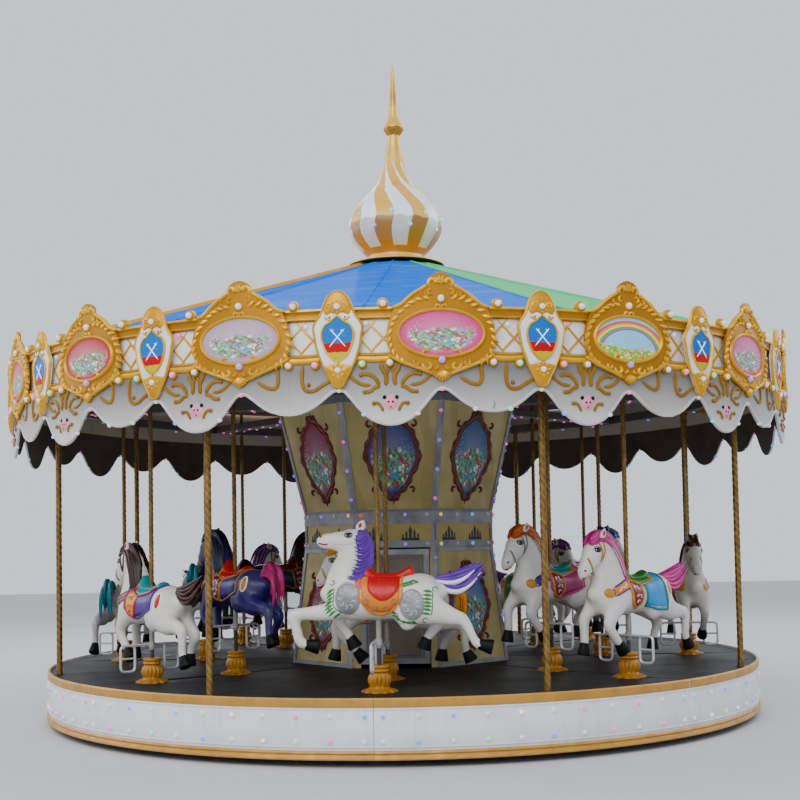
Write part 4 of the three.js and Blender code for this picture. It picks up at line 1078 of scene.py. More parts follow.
GOLD_PAINT = paint(
    "cornice_gold", "c8901a", "7a5218", 0.35, 9.0, 0.28, 0.25, use_tint=True, Metallic=0.45,
    Specular_IOR_Level=0.2)
FIELD_WHITE = paint("cornice_white", "e6e4e4", "8f897f", 0.4, 6.0, 0.3, 0.2, use_tint=True)
look, tree = coat("painted_emblem", Roughness=0.5, Specular_IOR_Level=0.1)
ragged = times(tree, noise(tree, look.uv, 3.0, 2.0), 0.16)
level = maths(tree, "ADD", level_of(tree, look.uv, "Y"), ragged)
lower_band = mixed(tree, spread(tree, level, -0.5, -0.49), colour("b8ac14"), colour("b0080f"))
emblem = mixed(tree, spread(tree, level, -0.08, -0.07), lower_band, colour("0068b4"))
dots = node(tree, "TexVoronoi", {"Vector": look.uv, "Scale": 6.0}).outputs["Distance"]
dotted = times(tree, spread(tree, dots, 0.06, 0.09, 1.0, 0.0), spread(tree, level, 0.0, 0.1))
EMBLEM = feed(look, Base_Color=mixed(tree, dotted, emblem, colour("cfe6f4")))

look, tree = coat("painted_rainbow", Roughness=0.4, Coat_Weight=0.06, Specular_IOR_Level=0.15)
low_centre = stretched(tree, look.uv, (0.62, 0.5, 0.0))
low_centre = node(
    tree, "VectorMath", {0: low_centre, 1: (0.0, 0.32, 0.0)}, operation="ADD").outputs[0]
bow = node(tree, "VectorMath", {0: low_centre}, operation="LENGTH").outputs["Value"]
bands = node(tree, "ValToRGB", {0: spread(tree, bow, 0.5, 0.72)})
ramp = bands.color_ramp
ramp.interpolation = "CONSTANT"
stops = [(0.0, "8cc6e8"), (0.05, "9a4fa8"), (0.22, "4fae5c"), (0.42, "efe04a"), (0.62, "ef8a3a"),
         (0.8, "d8356a"), (0.97, "8cc6e8")]
ramp.elements[0].position, ramp.elements[0].color = stops[0][0], colour(stops[0][1])
ramp.elements[1].position, ramp.elements[1].color = stops[-1][0], colour(stops[-1][1])
for stop, code in stops[1:-1]:
    ramp.elements.new(stop).color = colour(code)
hill = maths(
    tree, "ADD", level_of(tree, look.uv, "Y"), times(tree, noise(tree, look.uv, 1.6, 1.0), 0.9))
hills = mixed(tree, spread(tree, noise(tree, look.uv, 8.0, 3.0), 0.45, 0.6), colour("6fb53c"),
              colour("e2d24a"))
ground = mixed(tree, spread(tree, hill, 0.05, 0.08), hills, bands.outputs[0])
clumps = node(tree, "TexVoronoi", {"Vector": look.uv, "Scale": 8.0})
blooms = times(tree, spread(tree, clumps.outputs["Distance"], 0.25, 0.33, 1.0, 0.0),
               spread(tree, hill, 0.12, 0.2, 1.0, 0.0))
bloom_hue = mixed(
    tree, spread(tree, node(tree, "SeparateColor", {0: clumps.outputs["Color"]}).outputs[0],
                 0.45, 0.5), colour("d23a3a"), colour("f4ede0"))
RAINBOW_PICTURE = feed(look, Base_Color=mixed(tree, blooms, ground, bloom_hue))

# Painted shade and highlights: recesses darker, raised edges, leaves and scrolls lighter.
SHADE, RAISED_HIGHLIGHT, STRONG_HIGHLIGHT = (0.6, 0.55, 0.45), (1.15, 1.28, 1.5), (1.32, 1.55, 2.1)
PLAQUE = 3.262
RIGHT_OUTLINE = [
    (0.0, 0.386), (0.03, 0.38), (0.062, 0.362), (0.083, 0.336), (0.081, 0.316), (0.1, 0.303),
    (0.13, 0.286), (0.163, 0.268), (0.192, 0.248), (0.216, 0.226), (0.24, 0.204), (0.268, 0.185),
    (0.292, 0.16), (0.314, 0.11), (0.332, 0.055), (0.339, 0.0), (0.335, -0.05), (0.322, -0.095),
    (0.3, -0.135), (0.268, -0.163), (0.215, -0.19), (0.15, -0.215), (0.095, -0.236), (0.06, -0.252),
    (0.03, -0.275), (0.0, -0.293)]


def leaf(root, lean, length, width, height, base, tint=STRONG_HIGHLIGHT):
    """A short pointed leaf: a stroke whose width swells as the sine of its length."""
    lean = math.radians(lean)
    t = np.linspace(0, 1, 5)
    bend = 0.25 * length * t ** 2
    path = np.asarray(root) + np.stack(
        [length * t * math.cos(lean) - bend * math.sin(lean),
         length * t * math.sin(lean) + bend * math.cos(lean)], -1)
    return stroke(
        path, width * np.sin(math.pi * (0.15 + 0.85 * t)), height, base, sides=4, tint=tint)


GARLAND = [(0.042, 0.214), (0.092, 0.214), (0.142, 0.202), (0.19, 0.176), (0.236, 0.138),
           (0.274, 0.094), (0.3, 0.044), (0.31, -0.008), (0.306, -0.058), (0.29, -0.102),
           (0.262, -0.137), (0.222, -0.16), (0.18, -0.174)]
TOP_ROLL = [(0.082, 0.308), (0.1, 0.294), (0.128, 0.277), (0.161, 0.258), (0.189, 0.238),
            (0.213, 0.216), (0.237, 0.195), (0.265, 0.178), (0.31, 0.168)]
LOW_ROLL = [(0.335, -0.118), (0.3, -0.142), (0.264, -0.162), (0.212, -0.184), (0.148, -0.208),
            (0.093, -0.229), (0.052, -0.248)]
CARTOUCHE_CURLS = [
    ((0.046, 0.322), -60, 290, 0.006, 0.034, 0.013, STRONG_HIGHLIGHT),
    ((0.062, 0.258), 120, -260, 0.005, 0.026, 0.009, RAISED_HIGHLIGHT),
    ((0.112, 0.244), 100, -240, 0.004, 0.019, 0.007, RAISED_HIGHLIGHT),
    ((0.024, 0.168), 200, -250, 0.004, 0.02, 0.009, STRONG_HIGHLIGHT),
    ((0.086, -0.192), 30, -320, 0.007, 0.036, 0.012, STRONG_HIGHLIGHT),
    ((0.154, -0.176), 60, -300, 0.005, 0.025, 0.01, RAISED_HIGHLIGHT),
    ((0.106, -0.13), 150, -140, 0.012, 0.04, 0.01, STRONG_HIGHLIGHT),
    ((0.04, -0.206), 120, 240, 0.004, 0.018, 0.008, RAISED_HIGHLIGHT)]


def cartouche(picture_slot, picture_tint):
    """A cartouche at the wall's origin: its field, rolled rim, leaf garland, smooth oval ring,
    picture, scrolls, crest, drop and two lamp bosses."""
    outline = outline_of(RIGHT_OUTLINE, 72)
    # Painted shade: the field is tinted darker than the raised work on it.
    shape = disc(outline, 0.006, (0.0, -0.005), (1.0, 0.97, 0.86, 0.6, 0.3, 0.0),
                 tint=(0.66, 0.6, 0.46), crown=-0.002, back=-0.011)
    angle = TURN * np.arange(48) / 48 + TURN / 4
    oval = np.stack([0.268 * np.cos(angle), 0.006 + 0.149 * np.sin(angle)], -1)
    shape.merge(stroke(oval, 0.0125, 0.022, 0.0, closed=True, tint=RAISED_HIGHLIGHT))
    shape.merge(disc(oval, 0.007, (0.0, 0.006), (1.0, 0.75, 0.5, 0.25, 0.0), picture_slot,
                     picture_tint, crown=0.003))
    garland = smooth_curve(GARLAND, 120)
    for side in (1, -1):
        flip = np.array([side, 1.0])
        shape.merge(stroke(smooth_curve(TOP_ROLL, 22) * flip, 0.012, 0.02, 0.002, tint=STRONG_HIGHLIGHT))
        shape.merge(stroke(smooth_curve(LOW_ROLL, 18) * flip, 0.012, 0.018, 0.0, tint=RAISED_HIGHLIGHT))
        for i in range(13):
            root, ahead = garland[8 * i + 4] * flip, garland[8 * i + 12] * flip
            way = math.degrees(math.atan2(*(ahead - root)[::-1]))
            shape.merge(leaf(root, way + side * 32, 0.06 + 0.008 * (i % 3), 0.0175, 0.022, 0.001,
                             STRONG_HIGHLIGHT if i < 8 else RAISED_HIGHLIGHT))
        for centre, start, sweep, near, far, width, tint in CARTOUCHE_CURLS:
            shape.merge(stroke(
                curl(centre, start, sweep, near, far) * flip, width, 0.018, 0.002, tint=tint))
        for degrees in (-38, -60, -80):
            shape.merge(leaf((0.0, -0.226), degrees if side > 0 else -180 - degrees, 0.062, 0.012,
                             0.014, 0.004, STRONG_HIGHLIGHT))
    for degrees in (35, 62, 90, 118, 145):
        shape.merge(leaf((0.0, 0.312), degrees, 0.058, 0.013, 0.016, 0.006, RAISED_HIGHLIGHT))
    for up, glow in ((0.222, "pearl"), (-0.16, "violet")):
        shape.merge(lamp_boss((0.0, up), 0.022, glow))
    return shape


PROUDWARDS = [[0.0, 1.0, 0.0]]


def wall_lamp(centre, radius, glow, proud):
    """A lamp given across and up a wall, facing outwards."""
    return lamps(Shape(), 2, [[centre[0], proud, centre[1]]], PROUDWARDS, radius, glow)


def lamp_boss(centre, radius, glow):
    """A lamp in a small round gold collar."""
    collar = stroke(circle(centre, radius * 1.12, 16), 0.006, 0.014, closed=True)
    return collar.merge(wall_lamp(centre, radius, glow, 0.014))


SHIELD_UP = 2.64
SHIELD_RIGHT = [
    (0.0, 0.336), (0.032, 0.326), (0.061, 0.3), (0.08, 0.262), (0.094, 0.22), (0.112, 0.18),
    (0.142, 0.14), (0.153, 0.105), (0.146, 0.07), (0.136, 0.0), (0.12, -0.053), (0.101, -0.106),
    (0.076, -0.158), (0.048, -0.211), (0.028, -0.25), (0.0, -0.264)]
EMBLEM_RIGHT = [
    (0.0, 0.176), (0.022, 0.157), (0.048, 0.135), (0.072, 0.122), (0.092, 0.088), (0.095, 0.05),
    (0.086, 0.01), (0.067, -0.036), (0.038, -0.074), (0.0, -0.098)]


def shield():
    """A shield at the wall's origin: white body with a gold edge, gold crest and tip, and the
    emblem with crossed swords between them."""
    outline = outline_of(SHIELD_RIGHT, 48)
    shape = disc(
        outline, 0.014, (0.0, 0.04), (1.0, 0.95, 0.85, 0.6, 0.0), slot=1, crown=0.01, back=-0.011)
    shape.merge(stroke(outline, 0.009, 0.016, 0.004, closed=True, tint=RAISED_HIGHLIGHT))
    crest = outline_of([
        (0.0, 0.33), (0.034, 0.318), (0.06, 0.29), (0.078, 0.25), (0.086, 0.21), (0.066, 0.186),
        (0.038, 0.196), (0.0, 0.178)], 32)
    shape.merge(
        disc(crest, 0.018, (0.0, 0.25), (1.0, 0.85, 0.5, 0.0), slot=0, crown=0.014, back=0.008))
    tip = outline_of([(0.0, -0.098), (0.03, -0.11), (0.06, -0.124), (0.086, -0.13), (0.072, -0.16),
                      (0.046, -0.208), (0.026, -0.246), (0.0, -0.26)], 32)
    shape.merge(
        disc(tip, 0.018, (0.0, -0.17), (1.0, 0.8, 0.4, 0.0), slot=0, crown=0.012, back=0.008))
    for side in (1, -1):
        flip = np.array([side, 1.0])
        shape.merge(stroke(
            curl((0.05, 0.24), 200, -260, 0.006, 0.028) * flip, 0.01, 0.014, 0.02, tint=STRONG_HIGHLIGHT))
        shape.merge(stroke(smooth_curve([(0.08, 0.176), (0.052, 0.158), (0.028, 0.16)], 10) * flip,
                           0.007, 0.009, 0.02, tint=RAISED_HIGHLIGHT))
        lamps(shape, 0, [[0.048 * side, 0.024, 0.172]], PROUDWARDS, 0.006, "screw", 0.3)
        blade = np.linspace((-0.046, 0.102), (0.052, -0.014), 10) * flip
        shape.merge(stroke(blade, 0.0038, 0.004, 0.027, slot=1, tint=STRONG_HIGHLIGHT, sides=4))
        guard = np.linspace((-0.041, 0.08), (-0.02, 0.096), 5) * flip
        shape.merge(stroke(guard, 0.003, 0.004, 0.028, slot=1, tint=STRONG_HIGHLIGHT, sides=4))
    emblem = outline_of(EMBLEM_RIGHT, 48)
    shape.merge(disc(emblem, 0.024, (0.0, 0.035), (1.0, 0.5, 0.0), slot=3, crown=0.002, back=0.01))
    border = (emblem - [0.0, 0.035]) * 1.06 + [0.0, 0.035]
    shape.merge(stroke(border, 0.007, 0.009, 0.021, closed=True, tint=RAISED_HIGHLIGHT))
    for degrees in range(0, 360, 45):
        root = np.array([math.cos(math.radians(degrees)), math.sin(math.radians(degrees))])
        shape.merge(leaf(root * 0.026 + [0.0, -0.158], degrees, 0.026, 0.012, 0.01, 0.024, STRONG_HIGHLIGHT))
        shape.merge(leaf(root * 0.026 + [0.0, 0.238], degrees, 0.022, 0.01, 0.008, 0.028, RAISED_HIGHLIGHT))
    for up in (0.238, -0.158):
        shape.merge(lamp_boss((0.0, up), 0.02, "pearl"), lambda p: p + [0, 0.016, 0])
    return shape


def lattice(from_x, to_x):
    """Thin gold strips crossing at a slant over the white field between two plaques."""
    shape = Shape()
    low, high = 2.556, 2.814
    slope, spacing = 1.08, 0.148
    run = (high - low) / slope
    for start in np.arange(from_x - run, to_x, spacing):
        for direction in (1, -1):
            x = start + run * np.array([0.0, 1.0])[::direction]
            path = np.linspace((x[0], low), (x[1], high), 40)
            path = path[(path[:, 0] > from_x) & (path[:, 0] < to_x)]
            if len(path) > 3:
                picks = np.linspace(0, len(path) - 1, max(len(path) // 6, 3)).astype(int)
                shape.merge(stroke(path[picks], 0.0085, 0.011, 0.0, sides=4, tint=RAISED_HIGHLIGHT))
    return shape


CREAM_SHADE = (0.72, 0.7, 0.66)


def cornice_segment(k):
    """One segment: rails and field carried along its arc, then plaques, lattice and lamps."""
    middle = CORNICE_ANGLE + k * SECTOR
    first, last = middle - 0.375 * SECTOR, middle + 0.625 * SECTOR
    seam = 0.00035 / CORNICE_BACK
    angles = np.linspace(first + seam, last - seam, 61)
    step = SECTOR / 2
    nearest = (angles - middle + step / 2) % step - step / 2
    arc = nearest * CORNICE_RAIL
    sag = 0.02 * np.exp(-((np.abs(arc) - 0.41) / 0.13) ** 2)
    rows = [
        (CORNICE_BACK, CORNICE_BOTTOM, 0, SHADE), (3.24, CORNICE_BOTTOM, 0, SHADE),
        (3.25, CORNICE_BOTTOM + 0.004 - sag, 0, SHADE),
        (3.257, CORNICE_BOTTOM + 0.012 - sag, 0, WHITE),
        (3.259, CORNICE_BOTTOM + 0.022 - 0.8 * sag, 0, RAISED_HIGHLIGHT),
        (3.256, CORNICE_BOTTOM + 0.031 - 0.6 * sag, 0, STRONG_HIGHLIGHT),
        (3.249, CORNICE_BOTTOM + 0.036 - 0.5 * sag, 0, SHADE),
        (3.254, CORNICE_BOTTOM + 0.042 - 0.4 * sag, 0, RAISED_HIGHLIGHT),
        (3.248, CORNICE_BOTTOM + 0.049 - 0.4 * sag, 0, WHITE),
        (3.236, CORNICE_BOTTOM + 0.052 - 0.3 * sag, 0, SHADE),
        (CORNICE_FIELD, CORNICE_BOTTOM + 0.054, 1, CREAM_SHADE), (CORNICE_FIELD, 2.6, 1, WHITE),
        (CORNICE_FIELD, 2.7, 1, WHITE), (CORNICE_FIELD, 2.79, 1, WHITE),
        (CORNICE_FIELD, 2.802, 1, CREAM_SHADE), (3.24, 2.804, 0, SHADE), (3.252, 2.811, 0, RAISED_HIGHLIGHT),
        (3.248, 2.82, 0, SHADE), (3.246, 2.846, 0, SHADE), (3.25, 2.856, 0, SHADE),
        (3.258, CORNICE_TOP - 0.012, 0, STRONG_HIGHLIGHT), (3.255, CORNICE_TOP, 0, STRONG_HIGHLIGHT),
        (3.24, CORNICE_TOP, 0, RAISED_HIGHLIGHT), (CORNICE_BACK, CORNICE_TOP, 0, SHADE)]
    shape = Shape()
    points = np.stack([around(r, angles, z) for r, z, _, _ in rows], 1)
    slots = np.tile([row[2] for row in rows[1:]] + [1], len(angles) - 1)
    shades = np.tile([row[3] for row in rows], (len(angles), 1))
    shape.add(points, grid(len(angles), len(rows), loop_columns=True), slots, shades)
    for end in (0, -1):
        back = around(CORNICE_BACK, angles[end], points[end][:, 2])
        shape.add(np.stack([points[end], back]), grid(2, len(rows)))
    for half_step in (0, 1):
        number = 2 * k + half_step
        angle = middle + half_step * step
        kind, picture_tint = PICTURES[number]
        shape.merge(cartouche(kind, picture_tint), on_wall(PLAQUE, angle, CARTOUCHE_UP))
        shape.merge(shield(), on_wall(PLAQUE, angle - step / 2, SHIELD_UP))
        spacing = step * CORNICE_FIELD
        for left, right in ((0.29, spacing / 2 - 0.1), (spacing / 2 + 0.1, spacing - 0.29)):
            shape.merge(lattice(left, right), on_wall(CORNICE_FIELD + 0.001, angle - step))
        for side in (-1, 1):
            far_glow = ("pink", "green")[(number + side) % 2]
            for across, up, size, sides, proud, back, glass, glow in (
                    (0.358, CORNICE_TOP + 0.02, 0.036, 24, 0.006, -0.02, 0.021, "pearl"),
                    (0.323, 2.526, 0.029, 18, 0.004, -0.016, 0.02, "pearl"),
                    (0.492, 2.522, 0.029, 18, 0.004, -0.016, 0.02, far_glow)):
                boss = (side * across, up)
                is_high = up > CORNICE_TOP
                shape.merge(button(boss, size, sides, proud, WHITE, 0.006, back),
                            on_wall(3.252 if is_high else 3.254, angle))
                shape.merge(
                    lamp_boss(boss, glass, glow), on_wall(3.26 if is_high else 3.259, angle))
        shape.merge(wall_lamp((0.425, 2.77), 0.018, "pearl", 0.008), on_wall(CORNICE_FIELD, angle))
        shape.merge(wall_lamp((-0.462, 2.778), 0.018, ("pearl", "pink")[number % 2], 0.008),
                    on_wall(CORNICE_FIELD, angle))
    bracket = slab(-0.025, 0.025, CEILING_BOTTOM + 0.01, CEILING_TOP - 0.01, RING_OUTER + 0.0003,
                   CORNICE_BACK + 0.01)
    return shape.merge(bracket, standing(POST_ANGLE + k * SECTOR))


GARDEN, RAINBOW = 4, 5
PICTURES = [(GARDEN, rgb(code)) for code in (
    "c8337f 6fb6e0 c2357e 4fa3dc b8306e 7cc0e6 d2438e c02a48 "
    "c8337f 6fb6e0 d2438e 4fa3dc b8306e c3213a b0182f a890a8").split()]
PICTURES[1] = PICTURES[9] = (RAINBOW, WHITE)
CORNICE_COATS = [GOLD_PAINT, FIELD_WHITE, LAMP_GLASS, EMBLEM, GARDEN_PICTURE, RAINBOW_PICTURE]
for k in range(SECTORS):
    show(cornice_segment(k).mesh(f"cornice_segment_{k + 1}", CORNICE_COATS, 50.0), "platform",
         "cornice_gold", f"cornice_{k + 1}")


# Drip panels. Moulded white sheets with a rolled lower edge, hung under the cornice. Their relief
# is painted ochre gold, with a small animal's face on each long lobe, and their backs are brown.
DRIP_OUTER, DRIP_INNER = 3.25, 3.235
DRIP_ARCH, DRIP_LONG, DRIP_SHORT = 2.36, 2.137, 2.215
DRIP_WHITE = paint("drip_white", "cfccc8", "8a857d", 0.35, 4.0, 0.28, 0.2, use_tint=True)
DRIP_GOLD = paint(
    "drip_gold", "8a6110", "45300c", 0.4, 12.0, 0.35, 0.3, use_tint=True, Specular_IOR_Level=0.2)
DRIP_BACK = paint("drip_back", "4a3d33", "1f1a16", 0.6, 3.0, 0.6)
FACE_PAINT = paint(
    "face_paint", "ffffff", "8a6a60", 0.1, 20.0, 0.5, 0.1, use_tint=True, Specular_IOR_Level=0.08)
LOBE = SECTOR / 4
CRACKED_PANEL = 0


def drip_edge(angle):
    """Height of the lower edge: from a round arch down to a long or a short lobe, where s is the
    squared sine across the lobe and the drop is 1.75 s / (s + 0.75). Long lobes come before a
    cartouche, short ones after it."""
    share = (angle - CORNICE_ANGLE) / LOBE
    lobe = np.floor(share + 1e-9)
    lowest = np.where(lobe.astype(int) % 2 == 1, DRIP_LONG, DRIP_SHORT)
    swing = np.sin(math.pi * (share - lobe)) ** 2
    return DRIP_ARCH + (lowest - DRIP_ARCH) * 1.75 * swing / (swing + 0.75)


LONG_STROKES = [
    ([(0.062, 2.535), (0.048, 2.49), (0.028, 2.455), (0.026, 2.42), (0.03, 2.382)], 0.0115),
    ([(0.01, 2.5), (0.016, 2.478), (0.026, 2.455)], 0.008),
    ([(0.066, 2.384), (0.085, 2.42), (0.115, 2.45), (0.15, 2.46), (0.182, 2.455)], 0.0105),
    ([(0.115, 2.389), (0.17, 2.394), (0.215, 2.418), (0.25, 2.45), (0.295, 2.468)], 0.0095),
    ([(0.06, 2.382), (0.095, 2.375), (0.125, 2.352), (0.16, 2.345)], 0.0105),
    ([(0.102, 2.278), (0.078, 2.276), (0.058, 2.253), (0.046, 2.225)], 0.008)]
LONG_KNOBS = [(0.182, 2.455), (0.16, 2.347), (0.104, 2.276)]
EYE_AND_NOSTRIL = ((0.0375, 2.313, 0.0125, 0.004), (0.0125, 2.284, 0.0078, 0.009))


def long_lobe():
    """The relief on a long lobe, at the wall's origin in the lobe's middle: two stems that
    spread upwards like antlers, scrolls with knobs on each side, and the face."""
    shape = Shape()
    shape.merge(button((0.0, 2.282), 0.046, 24, 0.001, rgb("dd8fa8"), 0.01, -0.001, 3))
    for side in (1, -1):
        for points, width in LONG_STROKES:
            shape.merge(stroke(smooth_curve(points, 14) * [side, 1.0], width * 1.3, width, slot=1))
        knobs = np.array([[side * across, 0.004, up] for across, up in LONG_KNOBS])
        lamps(shape, 1, knobs, PROUDWARDS, 0.014, flat=0.8)
        for across, up, wide, proud in EYE_AND_NOSTRIL:
            shape.merge(
                button((side * across, up), wide, 16, proud, (0.006,) * 3, 0.004, -0.001, 3))
    return shape.merge(button((0.0, 2.256), 0.009, 12, 0.006, rgb("d0202c"), 0.003, -0.001, 3))


def short_lobe(side):
    """Half the relief on a short lobe: a hook that hangs from the cornice, the right one with
    a longer tail and a knob."""
    right = [(0.094, 2.535), (0.086, 2.47), (0.088, 2.412), (0.108, 2.37), (0.16, 2.364),
             (0.22, 2.4), (0.29, 2.436)]
    left = [(-0.076, 2.53), (-0.07, 2.47), (-0.07, 2.424), (-0.09, 2.39), (-0.142, 2.398),
            (-0.215, 2.44)]
    shape = stroke(smooth_curve(right if side > 0 else left, 18), 0.0135, 0.0105, slot=1)
    if side > 0:
        lamps(shape, 1, [[0.128, 0.004, 2.402]], PROUDWARDS, 0.014, flat=0.8)
    return shape


EDGE_LAMPS = (
    (1, -0.166, "cyan"), (1, 0.166, "pearl"), (2, -0.112, "pearl"), (2, 0.112, "green"),
    (3, -0.166, "blue"), (3, 0.166, "pearl"), (0.5, 0, "pearl"), (1.5, 0, "pink"),
    (2.5, 0, "pearl"), (3.5, 0, "pink"))
LONG_RELIEF = long_lobe()
for k in range(SECTORS):
    first = CORNICE_ANGLE + (k - 0.375) * SECTOR
    seam = 0.00035 / CORNICE_BACK
    angles = np.linspace(first + seam, first + SECTOR - seam, 65)
    edge = drip_edge(angles)
    top = CORNICE_BOTTOM - FITTED_GAP
    share = np.array([1.0, 0.82, 0.64, 0.45, 0.28, 0.12, 0.0])
    heights = edge[:, None] + (top - edge)[:, None] * share
    dish = 0.004 * np.sin(math.pi * share)[None] * np.ones((len(angles), 1))
    front = around(DRIP_OUTER - 0.004 + dish, angles[:, None], heights)
    back = around(DRIP_INNER, angles[:, None], heights)
    climb = np.clip((heights - DRIP_LONG) / (top - DRIP_LONG), 0.0, 1.0)
    shadow = np.clip(1.04 - 0.95 * climb ** 0.9, 0.24, 1.0)
    panel = Shape()
    panel.add(front, grid(len(angles), len(share)), 0, np.repeat(shadow.reshape(-1, 1), 3, 1))
    panel.add(back, grid(len(angles), len(share)), 2)
    for column in (0, -1):
        panel.add(np.stack([front[:, column], back[:, column]]), grid(2, len(angles)), 0)
    for row in (0, -1):
        panel.add(np.stack([front[row], back[row]]), grid(2, len(share)), 0)
    flat = np.stack([(angles - first) * DRIP_OUTER, edge + 0.01], -1)
    panel.merge(stroke(flat[1:-1], 0.011, 0.01, -0.006, sides=7, tint=(0.8, 0.8, 0.82)),
                on_wall(DRIP_OUTER, first))
    panel.merge(LONG_RELIEF, on_wall(DRIP_OUTER, first + LOBE))
    panel.merge(LONG_RELIEF, on_wall(DRIP_OUTER, first + 3 * LOBE))
    for lobe, side in ((0, 1), (2, 1), (2, -1), (4, -1)):
        panel.merge(short_lobe(side), on_wall(DRIP_OUTER, first + lobe * LOBE))
    if k == CRACKED_PANEL:
        crack = smooth_curve([(0.004, 2.292), (0.012, 2.266), (0.003, 2.244), (0.006, 2.218)], 9)
        panel.merge(stroke(crack, 0.0022, 0.002, -0.001, sides=4, tint=(0.05, 0.045, 0.04)),
                    on_wall(DRIP_OUTER, first + 2 * LOBE))
    for lobe, across, glow in EDGE_LAMPS:
        angle = first + lobe * LOBE + across / DRIP_OUTER
        low = drip_edge(np.array(angle)) + 0.002
        lamps(panel, 4, around(DRIP_OUTER - 0.002, angle, low)[None], DOWNWARDS, 0.0175, glow)
    show(panel.mesh(
        f"drip_sheet_{k + 1}", [DRIP_WHITE, DRIP_GOLD, DRIP_BACK, FACE_PAINT, LAMP_GLASS], 40.0),
         "platform", "drip_white", f"drip_panel_{k + 1}")


# Roof. Sixteen gores of coated sheet over light rafters, in four coloured quarters, wet from
# rain, with a painted sheen, a narrow welt along each rib and a dark underside.
ROOF_SIDES = 16
EAVE_RADIUS, EAVE_BOTTOM, ROOF_THICKNESS = 3.225, 2.8743, 0.014
ROOF_TOP_RADIUS, ROOF_TOP = 0.34, 3.862
LIP, HOLE_RADIUS = 0.045, 0.22
look, tree = coat("roof_sheet", Coat_Weight=0.05, Coat_Roughness=0.1, Specular_IOR_Level=0.0)
# Painted sheen: long pale streaks stand in for the gloss of the wet sheet.
sheen_streaks = noise(tree, stretched(tree, look.place, (0.7, 0.7, 6.0)), 3.0, 5.0, 0.6)
sheen = spread(tree, sheen_streaks, 0.5, 0.68)
tone = mixed(tree, times(tree, sheen, 0.12), look.tint, colour("a8d0f4"))
ROOF_SHEET = grimed(look, tone, "5f7f90", 0.06, 2.4, 0.22, 0.12)
ROOF_UNDER = paint("roof_underside", "5b4f49", "332c28", 0.5, 2.0, 0.6)
BLUE, GREEN, YELLOW = rgb("0a66d0"), rgb("4cbc70"), rgb("eca40c")
GORE_TINTS = [BLUE] * 4 + [GREEN] * 4 + [BLUE] * 4 + [YELLOW] * 4
TRIMMED_RIBS = (1, 12)
roof = Shape()
share = np.linspace(0, 1, 9)
for g in range(ROOF_SIDES):
    start = POST_ANGLE - TURN / 4 + g * TURN / ROOF_SIDES
    across = np.linspace(0, 1, 5)
    corners = [around(EAVE_RADIUS, a, 0.0) for a in (start, start + TURN / ROOF_SIDES)]
    eave = corners[0] + (corners[1] - corners[0]) * across[:, None]
    unit = eave / EAVE_RADIUS
    radius = EAVE_RADIUS + (ROOF_TOP_RADIUS - EAVE_RADIUS) * share
    rise = EAVE_BOTTOM + ROOF_THICKNESS + (ROOF_TOP - EAVE_BOTTOM - ROOF_THICKNESS) * share
    sag = 0.01 * np.sin(math.pi * share)[:, None] * (4 * across * (1 - across))[None]
    outer = unit[None] * radius[:, None, None] + [0, 0, 1] * (rise[:, None] - sag)[..., None]
    roof.add(outer, grid(len(share), len(across)), 0, GORE_TINTS[g])
    under_radius = EAVE_RADIUS - LIP + (ROOF_TOP_RADIUS - 0.02 - EAVE_RADIUS + LIP) * share
    under_rise = EAVE_BOTTOM + (ROOF_TOP - ROOF_THICKNESS - EAVE_BOTTOM) * share
    under = unit[None] * under_radius[:, None, None] + [0, 0, 1] * under_rise[:, None, None]
    roof.add(under, grid(len(share), len(across)), 1)
    lip = unit[None] * np.array([EAVE_RADIUS, EAVE_RADIUS, EAVE_RADIUS - LIP])[:, None, None]
    lip = lip + [0, 0, 1] * np.array(
        [EAVE_BOTTOM + ROOF_THICKNESS, EAVE_BOTTOM, EAVE_BOTTOM])[:, None, None]
    roof.add(lip, grid(3, len(across)), 0, GORE_TINTS[g])
    flat_top = unit[None] * np.array(
        [ROOF_TOP_RADIUS, HOLE_RADIUS, HOLE_RADIUS, ROOF_TOP_RADIUS - 0.02])[:, None, None]
    levels = np.array([ROOF_TOP, ROOF_TOP, ROOF_TOP - ROOF_THICKNESS, ROOF_TOP - ROOF_THICKNESS])
    roof.add(flat_top + [0, 0, 1] * levels[:, None, None], grid(4, len(across)), 1)
    rib = np.stack([radius, rise + 0.001], -1)
    side = around(1.0, start + TURN / 4, 0.0)
    is_trimmed = g in TRIMMED_RIBS
    welt_section = np.array([(-0.01, -0.002), (-0.007, 0.005), (0.007, 0.005), (0.01, -0.002)])
    welt_section = welt_section * ((1.4, 4.5) if is_trimmed else (1.0, 1.0))
    welt_tint = YELLOW if is_trimmed else GORE_TINTS[g]
    welt = (around(rib[:, 0], start, rib[:, 1])[:, None] + welt_section[None, :, :1] * side
            + welt_section[None, :, 1:] * [0, 0, 1])
    roof.add(welt, grid(len(share), 4, loop_columns=True), 0, welt_tint)
    for end in (0, -1):
        roof.add(welt[end], [[0, 1, 2, 3]], 0, welt_tint)
show(roof.mesh("roof_gores", [ROOF_SHEET, ROOF_UNDER], 20.0), "platform", "roof_skin", "roof")


# Onion dome. A moulded shell on a gold foot and a flat flange that is dark below, striped gold
# and white in eight pairs that lean as they climb, with two rows of lamps.
FLANGE_BOTTOM, FLANGE_TOP, FLANGE_RADIUS = 3.8623, 3.88, 0.433
DOME_NECK, DOME_TOP = 4.82, 4.874
DOME_STRIPES = 8
dome_curve = smooth_curve(
    [(0.292, 3.898), (0.268, 3.92), (0.257, 3.948), (0.26, 3.972), (0.29, 4.006), (0.342, 4.06),
     (0.392, 4.136), (0.413, 4.232), (0.39, 4.326), (0.342, 4.408), (0.28, 4.486), (0.207, 4.564),
     (0.158, 4.62), (0.122, 4.696), (0.101, 4.76), (0.089, 4.82), (0.081, 4.874)], 76)
